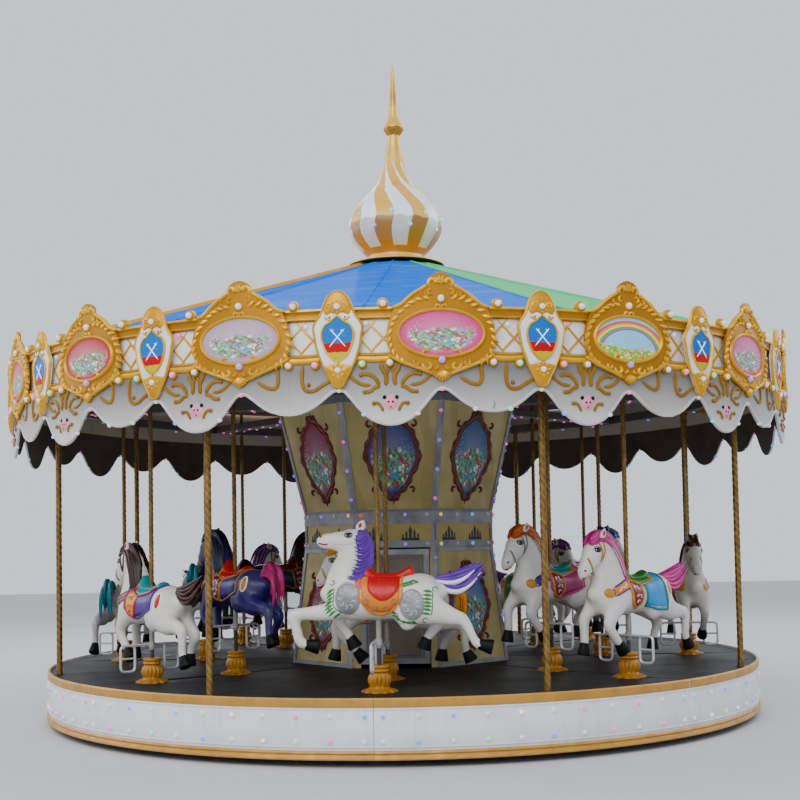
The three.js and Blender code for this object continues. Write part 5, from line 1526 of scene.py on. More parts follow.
# Painted reflection of the bright sky above the dome's widest line and of the roof below it.
mirrored, mirrored_in, mirrored_out = effect(
    "Sky and roof in gold", [("Color", "Color", (0.8, 0.6, 0.2, 1.0))], [("Color", "Color")])
facing = node(mirrored, "NewGeometry").outputs["Normal"]
facing = level_of(mirrored, facing)
below = mixed(mirrored, spread(mirrored, facing, -0.75, -0.05), (0.84, 0.7, 0.46, 1.0),
              (0.46, 0.37, 0.26, 1.0))
above = mixed(mirrored, spread(mirrored, facing, 0.02, 0.1), below, (1.28, 1.45, 1.9, 1.0))
above = mixed(mirrored, spread(mirrored, facing, 0.25, 0.75), above, (1.12, 1.18, 1.3, 1.0))
mirrored.links.new(
    mixed(mirrored, 1.0, mirrored_in["Color"], above, "MULTIPLY"), mirrored_out["Color"])

look, tree = coat("dome_paint", Coat_Weight=0.35, Coat_Roughness=0.2)
is_gold = node(tree, "SeparateColor", {0: look.tint}).outputs["Blue"]
shine = placed(tree, mirrored, Color=look.tint)["Color"]
soft = mixed(tree, 0.45, look.tint, shine)
stripe = mixed(tree, spread(tree, is_gold, 0.3, 0.4), shine, soft)
brushed = noise(tree, stretched(tree, look.place, (1.0, 1.0, 0.3)), 9.0, 5.0, 0.6)
tone = mixed(tree, spread(tree, brushed, 0.4, 0.7, 0.0, 0.18), stripe,
             mixed(tree, 1.0, stripe, colour("d8b070"), "MULTIPLY"))
DOME_PAINT = grimed(look, tone, "8a6a3a", 0.14, 7.0, 0.2)
look, tree = coat("dome_gold", Metallic=0.45)
tone = mixed(tree, noise(tree, look.place, 14.0), colour("c8922a"), colour("d8a844"))
shine = placed(tree, mirrored, Color=tone)["Color"]
DOME_GOLD = grimed(look, shine, "7c5a1e", 0.25, 8.0, 0.2, 0.3)
FLANGE_DARK = paint("flange_dark", "2a1712", "100a08", 0.5, 9.0, 0.5)
GOLD_TINT, DOME_WHITE = rgb("cd962a"), rgb("e6e8ea")
FLANGE_SIDES = 64
dome = Shape()
flange = turned(
    [(0.0, FLANGE_BOTTOM), (FLANGE_RADIUS, FLANGE_BOTTOM),
     (FLANGE_RADIUS + 0.003, FLANGE_BOTTOM + 0.009), (FLANGE_RADIUS, FLANGE_TOP),
     (0.4, FLANGE_TOP + 0.003), (0.34, 3.886), (0.292, 3.898)], FLANGE_SIDES)
dome.add(*flange, np.tile([1, 1, 0, 0, 0, 0], FLANGE_SIDES))
sides = 16 * DOME_STRIPES
angle = TURN * np.arange(sides) / sides
height = dome_curve[:, 1]
lean = -0.95 * np.clip((height - 4.25) / 0.5, 0, None) ** 1.6
lean = lean - 0.08 * np.sin(math.pi * np.clip((height - 3.95) / 0.3, 0, 1))
spin = angle[:, None] + lean[None]
pillow = 1 + 0.012 * np.cos(2 * DOME_STRIPES * angle)[:, None] * np.clip(
    (height - 4.0) / 0.2, 0, 1)[None] * np.clip((4.74 - height) / 0.2, 0, 1)[None]
points = around(dome_curve[:, 0][None] * pillow, spin, height[None])
faces = grid(sides, len(height), loop_rows=True)
column = np.repeat(np.arange(sides), len(height) - 1)
row_height = np.tile((height[1:] + height[:-1]) / 2, sides)
is_white = (column * DOME_STRIPES * 2 // sides) % 2 == 0
narrow = np.clip((row_height - 4.48) / 0.34, 0, 1)
place_in = (column * DOME_STRIPES * 2 / sides) % 1
is_white &= ((row_height > 4.005) & (row_height < DOME_NECK)
             & (np.abs(place_in - 0.45) < 0.51 - 0.48 * narrow))
grid_points = points.reshape(-1, 3)
for white, tint in ((True, DOME_WHITE), (False, GOLD_TINT)):
    dome.add(grid_points, faces[is_white == white], 2, tint)
dome.add(*turned([(0.081, DOME_TOP), (0.0, DOME_TOP)], 32))
for height, offset, radius in ((4.283, 0.0, 0.404), (4.166, 0.5, 0.4)):
    spots = ROW_ANGLE + (np.arange(SECTORS) + offset) * SECTOR
    lamps(dome, 3, around(radius, spots, height), around(1.0, spots, 0.15), 0.021,
          "cyan pearl green pearl pink white pearl blue".split())
show(dome.mesh("dome_shell", [DOME_GOLD, FLANGE_DARK, DOME_PAINT, LAMP_GLASS], 35.0), "platform",
     "dome_gold", "onion_dome")


# Spire. A turned gold finial on the dome's neck: a slim waist, a ball with a ridge, and a long
# point.
spire_curve = np.concatenate([
    smooth_curve([(0.081, 4.8745), (0.068, 4.94), (0.058, 5.01), (0.052, 5.06)], 12),
    smooth_curve(
        [(0.052, 5.062), (0.066, 5.078), (0.084, 5.104), (0.09, 5.13), (0.08, 5.158), (0.062, 5.19),
         (0.048, 5.225), (0.039, 5.28), (0.033, 5.34), (0.027, 5.47), (0.018, 5.6), (0.01, 5.67),
         (0.004, 5.701), (0.0, 5.705)], 48)])
spire_curve = np.concatenate([[(0.0, 4.8745)], spire_curve])
show(Shape().add(*turned(spire_curve, 28)).mesh("spire_finial", [DOME_GOLD], 40.0), "platform",
     "dome_gold", "spire")


# Poles and footrests. Each horse hangs on a steel tube in a twisted brass sleeve, grey below the
# belly, with a dark rod that slides in the pedestal and a footrest of bright bent tube: a bar in
# a clamp, with a rounded loop and its rung on each side.
POLE_RADIUS, ROD_RADIUS = 0.019, 0.0148
ROD_BOTTOM, POLE_TOP, HOOF_HEIGHT = 0.48, 2.85, 0.6
BAR_AHEAD = 0.033
LOOP_INNER, LOOP_OUTER, LOOP_HEIGHT, LOOP_TUBE = 0.115, 0.25, 0.208, 0.0095
OUTER_LIFT = (0.085, -0.02, -0.05, 0.035, 0.07, -0.06, -0.075, -0.045)
INNER_LIFT = (-0.065, 0.04, 0.03, -0.07, -0.04, 0.06, 0.045, 0.055)
TUBE_BRIGHT = paint("tube_bright", "c2c3c5", "6f6d6a", 0.3, 14.0, 0.2, 0.1, Metallic=0.25)
TUBE_GREY = paint("tube_grey", "a3a09c", "6b5a45", 0.5, 9.0, 0.35, 0.2, Metallic=0.2)
ROD_DARK = paint("rod_dark", "47413c", "1d1a18", 0.5, 12.0, 0.3, 0.1, Metallic=0.5)


def tube(path, radius, closed=False, sides=8, flat=(1.0, 1.0), reference=(1.0, 0.0, 0.0), slot=0,
         tint=WHITE):
    """A tube along a path: rings of a cosine along the reference direction and a sine across
    it, closed at both ends. The radius may change along the path."""
    path = np.asarray(path, float)
    count = len(path)
    if closed:
        along = np.roll(path, -1, 0) - np.roll(path, 1, 0)
    else:
        along = np.gradient(path, axis=0)
    along /= np.linalg.norm(along, axis=1, keepdims=True)
    first = np.asarray(reference, float) - (along @ np.asarray(reference, float))[:, None] * along
    first /= np.linalg.norm(first, axis=1, keepdims=True)
    second = np.cross(along, first)
    angle = TURN * np.arange(sides) / sides
    radius = np.broadcast_to(radius, count)[:, None, None]
    rings = path[:, None] + radius * (
        flat[0] * np.cos(angle)[None, :, None] * first[:, None]
        + flat[1] * np.sin(angle)[None, :, None] * second[:, None])
    if not closed:
        rings = np.concatenate(
            [np.repeat(path[:1, None], sides, 1), rings, np.repeat(path[-1:, None], sides, 1)])
    return Shape().add(rings, grid(len(rings), sides, closed, True), slot, tint)


def rounded(corners, radius, count=6):
    """A closed path through corners that are rounded by a quarter of a curve."""
    corners = np.asarray(corners, float)
    path = []
    for before, corner, after in zip(np.roll(corners, 1, 0), corners, np.roll(corners, -1, 0)):
        enter = corner + (before - corner) * radius / np.linalg.norm(before - corner)
        leave = corner + (after - corner) * radius / np.linalg.norm(after - corner)
        t = np.linspace(0, 1, count)[:, None]
        path.append((1 - t) ** 2 * enter + 2 * t * (1 - t) * corner + t ** 2 * leave)
    return np.concatenate(path)


def in_row(row, ring, height):
    """Places a horse's own points, forwards along -X and outwards along -Y, in its row."""
    angle = ROW_ANGLE + row * SECTOR

    def place(points):
        ahead, out = points[:, :1], points[:, 1:2]
        return (ahead * around(1.0, angle + TURN / 4, 0.0) - out * around(1.0, angle, 0.0)
                + around(ring, angle, height) + points[:, 2:] * [0.0, 0.0, 1.0])
    return place


def pole_and_footrest(belly, back, footrest_top, drop):
    """The pole from its rod to its top, and the footrest, in the horse's own heights."""
    shape = Shape()
    points, faces, shade = rope(POLE_RADIUS, back, POLE_TOP - HOOF_HEIGHT - drop, 0.13, 9)
    shape.add(points, faces, 0, shade)
    sleeve_bottom = 0.105 - drop * 0.7
    grey = [(0.0, sleeve_bottom), (POLE_RADIUS - 0.002, sleeve_bottom),
            (POLE_RADIUS, sleeve_bottom + 0.003), (POLE_RADIUS, belly + 0.06), (0.0, belly + 0.06)]
    shape.add(*turned(grey, 16), 1)
    rod = [(0.0, ROD_BOTTOM - HOOF_HEIGHT - drop), (ROD_RADIUS, ROD_BOTTOM - HOOF_HEIGHT - drop),
           (ROD_RADIUS, sleeve_bottom + 0.01), (0.0, sleeve_bottom + 0.01)]
    shape.add(*turned(rod, 14), 2)
    high, low = footrest_top - LOOP_TUBE, footrest_top - LOOP_HEIGHT + LOOP_TUBE
    middle = (high + low) / 2
    near, far = LOOP_INNER + LOOP_TUBE, LOOP_OUTER - LOOP_TUBE
    for side in (1, -1):
        loop = rounded([(-BAR_AHEAD, side * out, up) for out, up in (
            (near, high), (far, high), (far, low), (near, low))], 0.036)
        shape.merge(tube(loop, LOOP_TUBE, closed=True, sides=6, slot=3))
        rung = np.linspace((-BAR_AHEAD, side * near, middle), (-BAR_AHEAD, side * far, middle), 3)
        shape.merge(tube(rung, LOOP_TUBE * 0.8, slot=3))
    bar = np.linspace((-BAR_AHEAD, -near - 0.03, high), (-BAR_AHEAD, near + 0.03, high), 5)
    shape.merge(tube(bar, LOOP_TUBE, slot=3))
    shape.merge(slab(-BAR_AHEAD, 0.0, high - LOOP_TUBE, high + LOOP_TUBE, -0.015, 0.015, slot=1))
    collar = [(0.0, high - 0.02), (0.024, high - 0.02), (0.024, high + 0.02), (0.0, high + 0.02)]
    return shape.add(*turned(collar, 16), 1)


# Horses. Hollow glass-fibre mouldings with thick smooth limbs, in two poses: one reaches out
# with its head up, the others prance with an arched neck. Hooves are dark, hair is modelled in
# thick locks, and saddles, cloths and badges are moulded on and painted by hand in strong
# colours, a different set for each horse.
FINE_VOXEL, VOXEL = 0.0145, 0.0215
DOME_SHARE, DOME_REACH = np.array([0.3, 0.7, 0.93]), np.array([1.0, 0.72, 0.38])


def loft(stations, side=0.0, per_span=5, sides=14):
    """A limb through stations of (forward, up, half width, half depth): ovals square to a
    smooth curve through them, with domed ends."""
    stations = np.asarray(stations, float)
    curve = smooth_curve(stations, per_span * (len(stations) - 1) + 1)
    along = np.gradient(curve[:, :2], axis=0)
    along /= np.linalg.norm(along, axis=1, keepdims=True)
    caps = []
    for end, sign in ((0, -1), (-1, 1)):
        cap = np.repeat(curve[end][None], len(DOME_SHARE), 0)
        cap[:, :2] += sign * along[end] * curve[end][3] * DOME_REACH[:, None] * 0.8
        cap[:, 2:] *= DOME_SHARE[:, None]
        caps.append(cap)
    full = np.concatenate([caps[0], curve, caps[1][::-1]])
    ways = np.concatenate([np.repeat(along[:1], 3, 0), along, np.repeat(along[-1:], 3, 0)])
    normal = np.stack([-ways[:, 1], np.zeros(len(ways)), ways[:, 0]], -1)
    centre = np.stack([full[:, 0], np.full(len(full), side), full[:, 1]], -1)
    angle = TURN * np.arange(sides) / sides
    ovals = (
        centre[:, None]
        + full[:, 2][:, None, None] * np.cos(angle)[None, :, None] * np.array([0.0, 1.0, 0.0])
        + full[:, 3][:, None, None] * np.sin(angle)[None, :, None] * normal[:, None])
    ovals = np.concatenate(
        [np.repeat(centre[:1, None], sides, 1), ovals, np.repeat(centre[-1:, None], sides, 1)])
    return Shape().add(ovals, grid(len(ovals), sides, loop_columns=True))


def fused(limbs, voxel, rounds=4):
    """One smooth skin round overlapping limbs, as points and four-cornered faces."""
    mesh = Shape()
    for limb in limbs:
        mesh.merge(limb)
    mesh = mesh.mesh("limbs", [], None)
    figure = bpy.data.objects.new("limbs", mesh)
    bpy.context.scene.collection.objects.link(figure)
    remesh = figure.modifiers.new("skin", "REMESH")
    remesh.mode = "VOXEL"
    remesh.voxel_size = voxel
    smooth = figure.modifiers.new("smooth", "SMOOTH")
    smooth.factor, smooth.iterations = 0.5, rounds
    bpy.context.view_layer.update()
    skin = figure.evaluated_get(bpy.context.evaluated_depsgraph_get()).to_mesh()
    points = np.empty((len(skin.vertices), 3))
    skin.vertices.foreach_get("co", points.ravel())
    corners = np.array([list(face.vertices) for face in skin.polygons if len(face.vertices) == 4])
    figure.to_mesh_clear()
    bpy.data.objects.remove(figure)
    bpy.data.meshes.remove(mesh)
    return points, corners


def hoof(ankle, toe, side, radius=0.037):
    """A flat-soled hoof from an ankle to a toe, given forwards and up."""
    ankle, toe = np.asarray(ankle, float), np.asarray(toe, float)
    share = np.array([0.0, 0.0, 0.25, 0.85, 1.0, 1.0])
    width = radius * np.array([0.0, 0.86, 0.98, 1.28, 1.22, 0.0])
    centre = ankle + (toe - ankle) * share[:, None]
    along = (toe - ankle) / np.linalg.norm(toe - ankle)
    normal = np.array([-along[1], 0.0, along[0]])
    angle = TURN * np.arange(14) / 14
    middle = np.stack([centre[:, 0], np.full(6, side), centre[:, 1]], -1)
    rings = (middle[:, None] + width[:, None, None] * (
        np.cos(angle)[None, :, None] * np.array([0.0, 0.92, 0.0])
        + 1.08 * np.sin(angle)[None, :, None] * normal))
    return Shape().add(rings, grid(6, 14, loop_columns=True), HOOF_SLOT)


NEAR, FAR = -0.085, 0.085
REACHING = SimpleNamespace(
    trunk=[(-0.345, 0.4, 0.055, 0.06), (-0.305, 0.39, 0.1, 0.115), (-0.24, 0.378, 0.135, 0.15),
           (-0.15, 0.37, 0.15, 0.158), (0.0, 0.362, 0.152, 0.145), (0.12, 0.362, 0.148, 0.143),
           (0.22, 0.372, 0.15, 0.15), (0.31, 0.385, 0.145, 0.145), (0.39, 0.4, 0.115, 0.11),
           (0.43, 0.41, 0.06, 0.06)],
    neck=[(-0.2, 0.44, 0.12, 0.165), (-0.19, 0.52, 0.095, 0.148), (-0.168, 0.6, 0.08, 0.122),
          (-0.145, 0.68, 0.068, 0.1), (-0.132, 0.745, 0.06, 0.085), (-0.13, 0.79, 0.052, 0.06)],
    head=[(-0.1, 0.79, 0.045, 0.05), (-0.145, 0.757, 0.062, 0.088), (-0.2, 0.743, 0.066, 0.088),
          (-0.255, 0.75, 0.056, 0.072), (-0.305, 0.753, 0.046, 0.06), (-0.345, 0.752, 0.043, 0.056),
          (-0.375, 0.752, 0.04, 0.05), (-0.388, 0.755, 0.03, 0.036)],
    legs=[(NEAR, [(-0.29, 0.285, 0.055, 0.065), (-0.4, 0.272, 0.05, 0.055),
                  (-0.5, 0.268, 0.043, 0.043), (-0.565, 0.255, 0.042, 0.045),
                  (-0.555, 0.2, 0.036, 0.037), (-0.54, 0.15, 0.033, 0.035),
                  (-0.53, 0.1, 0.034, 0.036), (-0.505, 0.068, 0.034, 0.036),
                  (-0.475, 0.062, 0.033, 0.033)], (-0.485, 0.062), (-0.395, 0.048)),
          (FAR, [(-0.22, 0.3, 0.055, 0.07), (-0.275, 0.235, 0.042, 0.046),
                 (-0.28, 0.2, 0.038, 0.04), (-0.225, 0.13, 0.033, 0.035),
                 (-0.205, 0.09, 0.033, 0.034)], (-0.205, 0.1), (-0.165, 0.022)),
          (NEAR, [(0.28, 0.31, 0.078, 0.13), (0.4, 0.27, 0.065, 0.09), (0.5, 0.235, 0.05, 0.06),
                  (0.565, 0.215, 0.04, 0.046), (0.61, 0.15, 0.03, 0.034),
                  (0.635, 0.095, 0.028, 0.03), (0.66, 0.058, 0.032, 0.034),
                  (0.685, 0.046, 0.033, 0.033)], (0.672, 0.052), (0.765, 0.03)),
          (FAR, [(0.28, 0.31, 0.075, 0.11), (0.36, 0.245, 0.05, 0.06), (0.4, 0.19, 0.04, 0.046),
                 (0.345, 0.115, 0.032, 0.035), (0.32, 0.08, 0.032, 0.033)], (0.322, 0.088),
           (0.295, 0.01))],
    haunch=[(0.2, 0.29, 0.07, 0.1), (0.2, 0.22, 0.062, 0.085), (0.2, 0.19, 0.04, 0.055)],
    ear=((-0.118, 0.842), (-0.092, 0.888)), eye=(-0.19, 0.79), nostril=(-0.382, 0.784),
    mouth=[(-0.402, 0.742), (-0.375, 0.734), (-0.348, 0.73), (-0.33, 0.736)],
    cheek=[(-0.31, 0.738), (-0.26, 0.728), (-0.2, 0.727), (-0.15, 0.735)], bridle=[],
    mane_edge=[(-0.105, 0.85), (-0.072, 0.822), (-0.034, 0.762), (-0.02, 0.69), (-0.024, 0.61),
               (-0.046, 0.538)],
    mane_tips=[(-0.12, 0.83), (-0.142, 0.775), (-0.146, 0.72), (-0.14, 0.655), (-0.156, 0.57),
               (-0.196, 0.5)],
    belly=0.215, back=0.49, up=0.0, footrest=0.078, drop=0.112, axis=0.362)
PRANCING = SimpleNamespace(
    trunk=[(-0.375, 0.45, 0.055, 0.06), (-0.33, 0.445, 0.1, 0.12), (-0.25, 0.437, 0.135, 0.148),
           (-0.14, 0.43, 0.145, 0.142), (0.0, 0.425, 0.142, 0.128), (0.12, 0.427, 0.14, 0.128),
           (0.22, 0.438, 0.146, 0.138), (0.31, 0.448, 0.142, 0.137), (0.385, 0.455, 0.11, 0.105),
           (0.42, 0.46, 0.06, 0.06)],
    neck=[(-0.215, 0.5, 0.118, 0.165), (-0.21, 0.585, 0.098, 0.15), (-0.215, 0.66, 0.085, 0.132),
          (-0.24, 0.735, 0.074, 0.112), (-0.28, 0.785, 0.064, 0.09), (-0.315, 0.8, 0.054, 0.068)],
    head=[(-0.305, 0.815, 0.048, 0.048), (-0.345, 0.778, 0.066, 0.08), (-0.385, 0.73, 0.068, 0.09),
          (-0.42, 0.685, 0.058, 0.076), (-0.452, 0.645, 0.049, 0.062),
          (-0.478, 0.612, 0.046, 0.058), (-0.492, 0.59, 0.04, 0.046), (-0.5, 0.578, 0.028, 0.032)],
    legs=[(NEAR, [(-0.22, 0.38, 0.06, 0.09), (-0.29, 0.29, 0.046, 0.058),
                  (-0.325, 0.235, 0.04, 0.044), (-0.275, 0.165, 0.034, 0.037),
                  (-0.215, 0.1, 0.034, 0.036)], (-0.222, 0.108), (-0.16, 0.036)),
          (FAR, [(-0.26, 0.38, 0.06, 0.085), (-0.34, 0.32, 0.048, 0.055),
                 (-0.39, 0.265, 0.04, 0.044), (-0.388, 0.18, 0.034, 0.036),
                 (-0.388, 0.1, 0.034, 0.035)], (-0.388, 0.105), (-0.405, 0.022)),
          (NEAR, [(0.27, 0.37, 0.078, 0.125), (0.38, 0.31, 0.064, 0.085),
                  (0.49, 0.295, 0.048, 0.056), (0.565, 0.275, 0.04, 0.046),
                  (0.57, 0.2, 0.032, 0.034), (0.572, 0.12, 0.031, 0.032),
                  (0.582, 0.085, 0.032, 0.033)], (0.58, 0.092), (0.618, 0.02)),
          (FAR, [(0.27, 0.37, 0.075, 0.12), (0.37, 0.29, 0.054, 0.068),
                 (0.465, 0.225, 0.042, 0.046), (0.425, 0.145, 0.032, 0.034),
                 (0.4, 0.09, 0.032, 0.033)], (0.402, 0.096), (0.392, 0.008))],
    haunch=[(0.18, 0.36, 0.07, 0.09), (0.185, 0.3, 0.06, 0.07), (0.19, 0.28, 0.04, 0.05)],
    ear=((-0.312, 0.866), (-0.288, 0.915)), eye=(-0.392, 0.765), nostril=(-0.502, 0.62),
    mouth=[(-0.515, 0.572), (-0.492, 0.566), (-0.468, 0.575), (-0.455, 0.59)],
    cheek=[(-0.43, 0.625), (-0.39, 0.64), (-0.35, 0.67), (-0.325, 0.715)],
    bridle=[[(-0.325, 0.83), (-0.318, 0.75), (-0.35, 0.675)],
            [(-0.372, 0.822), (-0.35, 0.745), (-0.35, 0.675)],
            [(-0.476, 0.715), (-0.452, 0.655), (-0.425, 0.61)]],
    mane_edge=[(-0.436, 0.812), (-0.4, 0.868), (-0.33, 0.9), (-0.245, 0.885), (-0.165, 0.822),
               (-0.112, 0.728), (-0.084, 0.635), (-0.068, 0.56)],
    mane_tips=[(-0.425, 0.79), (-0.385, 0.812), (-0.325, 0.832), (-0.258, 0.815), (-0.196, 0.755),
               (-0.152, 0.675), (-0.128, 0.6), (-0.11, 0.548)],
    belly=0.29, back=0.54, up=0.065, footrest=0.152, drop=0.0, axis=0.425)
for mould in (REACHING, PRANCING):
    limbs = [loft(mould.trunk, 0.0, 4, 18), loft(mould.neck), loft(mould.head)]
    limbs += [loft(stations, side) for side, stations, _, _ in mould.legs]
    limbs.append(loft(mould.haunch, NEAR))
    mould.skin = fused(limbs, FINE_VOXEL if mould is REACHING else VOXEL)
    mould.tree = BVHTree.FromPolygons(mould.skin[0].tolist(), mould.skin[1].tolist())


def on_flank(mould, side, least=0.014):
    """Places points given across, proud and up on a horse's side: the depth is where a level
    line from that side first meets the skin."""
    def place(points):
        out = np.empty_like(points)
        for i, (across, proud, up) in enumerate(points):
            hit = mould.tree.ray_cast(Vector((across, side * 0.6, up)), Vector((0.0, -side, 0.0)))
            depth = least if hit[0] is None else max(hit[0].y * side, least)
            out[i] = (across, side * (depth + proud), up)
        return out
    return place


def on_back(mould):
    """Places points over the back: across is forwards, up is the angle from the top towards
    the outer flank, and the radius is where a line from outside meets the skin."""
    def place(points):
        out = np.empty_like(points)
        for i, (across, proud, turn) in enumerate(points):
            way = Vector((0.0, -math.sin(turn), math.cos(turn)))
            start = Vector((across, 0.0, mould.axis)) + way * 0.3
            hit = mould.tree.ray_cast(start, -way)
            radius = 0.15 if hit[0] is None else min(0.3 - hit[3], 0.2)
            out[i] = Vector((across, 0.0, mould.axis)) + way * (radius + proud)
        return out
    return place


HORSE_PAINT = paint(
    "horse_paint", "dddbd8", "9a948a", 0.28, 5.0, 0.25, 0.15, use_tint=True, Coat_Weight=0.12,
    Coat_Roughness=0.12, Specular_IOR_Level=0.3)
look, tree = coat("horse_hair", Roughness=0.4, Coat_Weight=0.08, Specular_IOR_Level=0.25)
strands = noise(tree, stretched(tree, look.uv, (1.0, 9.0, 1.0)), 5.0, 3.0)
worn = spread(tree, strands, 0.54, 0.64)
tone = mixed(tree, times(tree, worn, 0.35), look.tint, colour("efeef0"))
HORSE_HAIR = feed(look, strands, 0.3, 0.003, Base_Color=tone)
look, tree = coat("horse_tack", Coat_Weight=0.1, Coat_Roughness=0.15, Specular_IOR_Level=0.25)
specks = node(tree, "TexVoronoi", {"Vector": look.place, "Scale": 60.0}).outputs["Distance"]
stitch = times(tree, spread(tree, specks, 0.12, 0.2, 1.0, 0.0), 0.12)
tone = mixed(tree, stitch, look.tint, colour("f4f0ea"))
HORSE_TACK = grimed(look, tone, "5a4436", 0.12, 9.0, 0.25, 0.15)
SILVER = paint(
    "badge_silver", "8a898c", "55524f", 0.4, 20.0, 0.25, 0.8, use_tint=True, Metallic=0.3)
HOOF_BLACK = paint("hoof_black", "08080a", "2a2622", 0.25, 12.0, 0.4, 0.2, Specular_IOR_Level=0.15)
BODY_SLOT, HAIR_SLOT, TACK_SLOT, SILVER_SLOT, HOOF_SLOT = range(5)
ACROSS = (0.0, 1.0, 0.0)


def head_details(mould, style):
    """Ears, eyes, nostrils, mouth, cheek lines and bridle, on both sides."""
    shape = Shape()
    base, tip = mould.ear
    for side in (1, -1):
        place = on_flank(mould, side)
        share = np.linspace(0, 1, 5)
        line = np.stack([base[0] + (tip[0] - base[0]) * share, side * (0.03 + 0.012 * share),
                         base[1] - 0.02 + (tip[1] - base[1] + 0.02) * share], -1)
        shape.merge(tube(line, 0.031 * np.array([0.8, 1.0, 0.95, 0.65, 0.2]), sides=12,
                         flat=(0.5, 1.0), reference=ACROSS, tint=style.body))
        inner = line + [-0.004, side * 0.0125, 0.0]
        shape.merge(tube(inner[1:4], 0.014 * np.array([0.6, 1.0, 0.3]), flat=(0.35, 1.0),
                         reference=ACROSS, tint=rgb("c3142c")))
        eye = circle(mould.eye, 0.025, 18)
        eye = mould.eye + (eye - mould.eye) * [1.0, 0.58]
        brow = smooth_curve(np.asarray(mould.eye) + [
            (-0.036, 0.002), (-0.014, 0.023), (0.012, 0.021), (0.034, 0.004)], 9)
        shape.gather([
            disc(eye, 0.001, mould.eye, tint=(0.8, 0.8, 0.8), crown=0.004, back=-0.006),
            stroke(eye, 0.0042, 0.004, 0.001, closed=True, tint=(0.01, 0.01, 0.012)),
            disc(mould.eye + (eye - mould.eye) * [0.62, 0.92], 0.005, mould.eye,
                 tint=(0.012, 0.012, 0.014), crown=0.003, back=-0.002),
            stroke(brow, 0.0022, 0.003, tint=(0.03, 0.03, 0.03)),
            button(mould.nostril, 0.0085, 12, 0.001, rgb("c01528"), 0.002, -0.004),
            stroke(smooth_curve(mould.mouth, 10), 0.0065, 0.004, tint=rgb("c0182c")),
            stroke(smooth_curve(mould.cheek, 12), 0.0025, 0.002, tint=style.body * 0.55)], place)
        shape.gather([stroke(smooth_curve(strap, 12), 0.008, 0.006, tint=style.bridle,
                             slot=TACK_SLOT) for strap in mould.bridle], place)
    return shape


MANE_POINTS, LOCKS, LOCK_POINTS = 26, 30, 9


def mane(mould, style):
    """A thick sheet on each side of the neck, and locks over it from the crest to the tips."""
    shape = Shape()
    edge, tips = (smooth_curve(line, MANE_POINTS) for line in (mould.mane_edge, mould.mane_tips))
    if mould is PRANCING:
        tips = edge + (tips - edge) * np.linspace(1.05, 1.75, MANE_POINTS)[:, None]
    share = np.linspace(0, 1, 7)
    rows = edge[:, None] + (tips - edge)[:, None] * share[None, :, None] * 0.9
    lift = 0.016 * np.sqrt(1 - share ** 2)[None] + 0 * rows[..., 0]
    sheet = np.stack([rows[..., 0], lift, rows[..., 1]], -1)
    under = np.stack([rows[..., 0], np.full_like(lift, -0.012), rows[..., 1]], -1)
    for side in (1, -1):
        place = on_flank(mould, side, 0.02)
        shape.merge(closed_sheet(sheet, under, HAIR_SLOT, style.mane * 0.8), place)
        if not style.white_locks:
            for i, share_in in enumerate((0.06, 0.3, 0.55, 0.8)):
                wobble = 0.06 * np.sin(np.linspace(0, 9, MANE_POINTS) + i)[:, None]
                line = edge + (tips - edge) * (share_in + wobble)
                shape.merge(stroke(line[1:-1], 0.0125, 0.01, 0.008, slot=HAIR_SLOT,
                                   tint=style.mane * (1.0, 0.8, 1.05, 0.85)[i]), place)
                pale = edge + (tips - edge) * (share_in + 0.13 + wobble)
                shape.merge(stroke(
                    pale[2 + 3 * i:-3], 0.0026, 0.004, 0.013, sides=4,
                    tint=style.mane * 0.4 + 0.48 * style.streaks, slot=HAIR_SLOT), place)
            continue
        for i in range(LOCKS):
            s = (i + 0.5) / LOCKS
            root = edge[int(s * (MANE_POINTS - 1))]
            tip = tips[int(min(s + 0.06, 1.0) * (MANE_POINTS - 1))]
            t = np.linspace(0, 1, LOCK_POINTS)[:, None]
            reach = 1.0 + 0.1 * math.sin(2.4 * i)
            bend = np.array([0.012 * math.sin(1.7 * i), -0.034])
            path = root + (tip - root) * t * reach + bend * np.sin(math.pi * t) * 0.8
            path = path + [0.0, 0.012] * t ** 3
            tone = style.mane * (0.85 + 0.3 * ((i * 7) % 5) / 5)
            wide = 0.0105 * (1 - 0.75 * t[:, 0] ** 1.5)
            shape.merge(stroke(path, wide, 0.01, 0.01, tint=tone, slot=HAIR_SLOT), place)
            if i % 3 == 1:
                shape.merge(stroke(path[5:] + [0.004, 0.005], 0.0024, 0.004, 0.014, sides=4,
                                   tint=(0.75, 0.73, 0.8), slot=HAIR_SLOT), place)
    return shape


def flowing_tail(style, up):
    """Long tapered locks side by side, streaming backwards."""
    shape = Shape()
    t = np.linspace(0, 1, 10)
    for i in range(15):
        lane, layer = (i % 5) / 4 - 0.5, i // 5 - 1
        length = 0.3 + 0.03 * math.sin(2.1 * i)
        path = np.stack(
            [0.395 + length * t, layer * 0.02 * (1 - 0.4 * t) + 0.012 * lane,
             0.475 + up + lane * (0.04 + 0.09 * np.sin(math.pi * t * 0.9))
             - 0.03 * np.sin(math.pi * t) + 0.085 * t ** 2.2], -1)
        wide = 0.019 * np.sin(math.pi * (0.22 + 0.76 * t)) ** 0.8
        tone = style.tail * (0.85 + 0.3 * (i * 3 % 5) / 5)
        if style.white_locks and i % 5 in (0, 2) and layer < 0:
            tone = np.array((0.82, 0.82, 0.83))
        shape.merge(tube(path, wide, sides=6, reference=ACROSS, slot=HAIR_SLOT, tint=tone))
    return shape


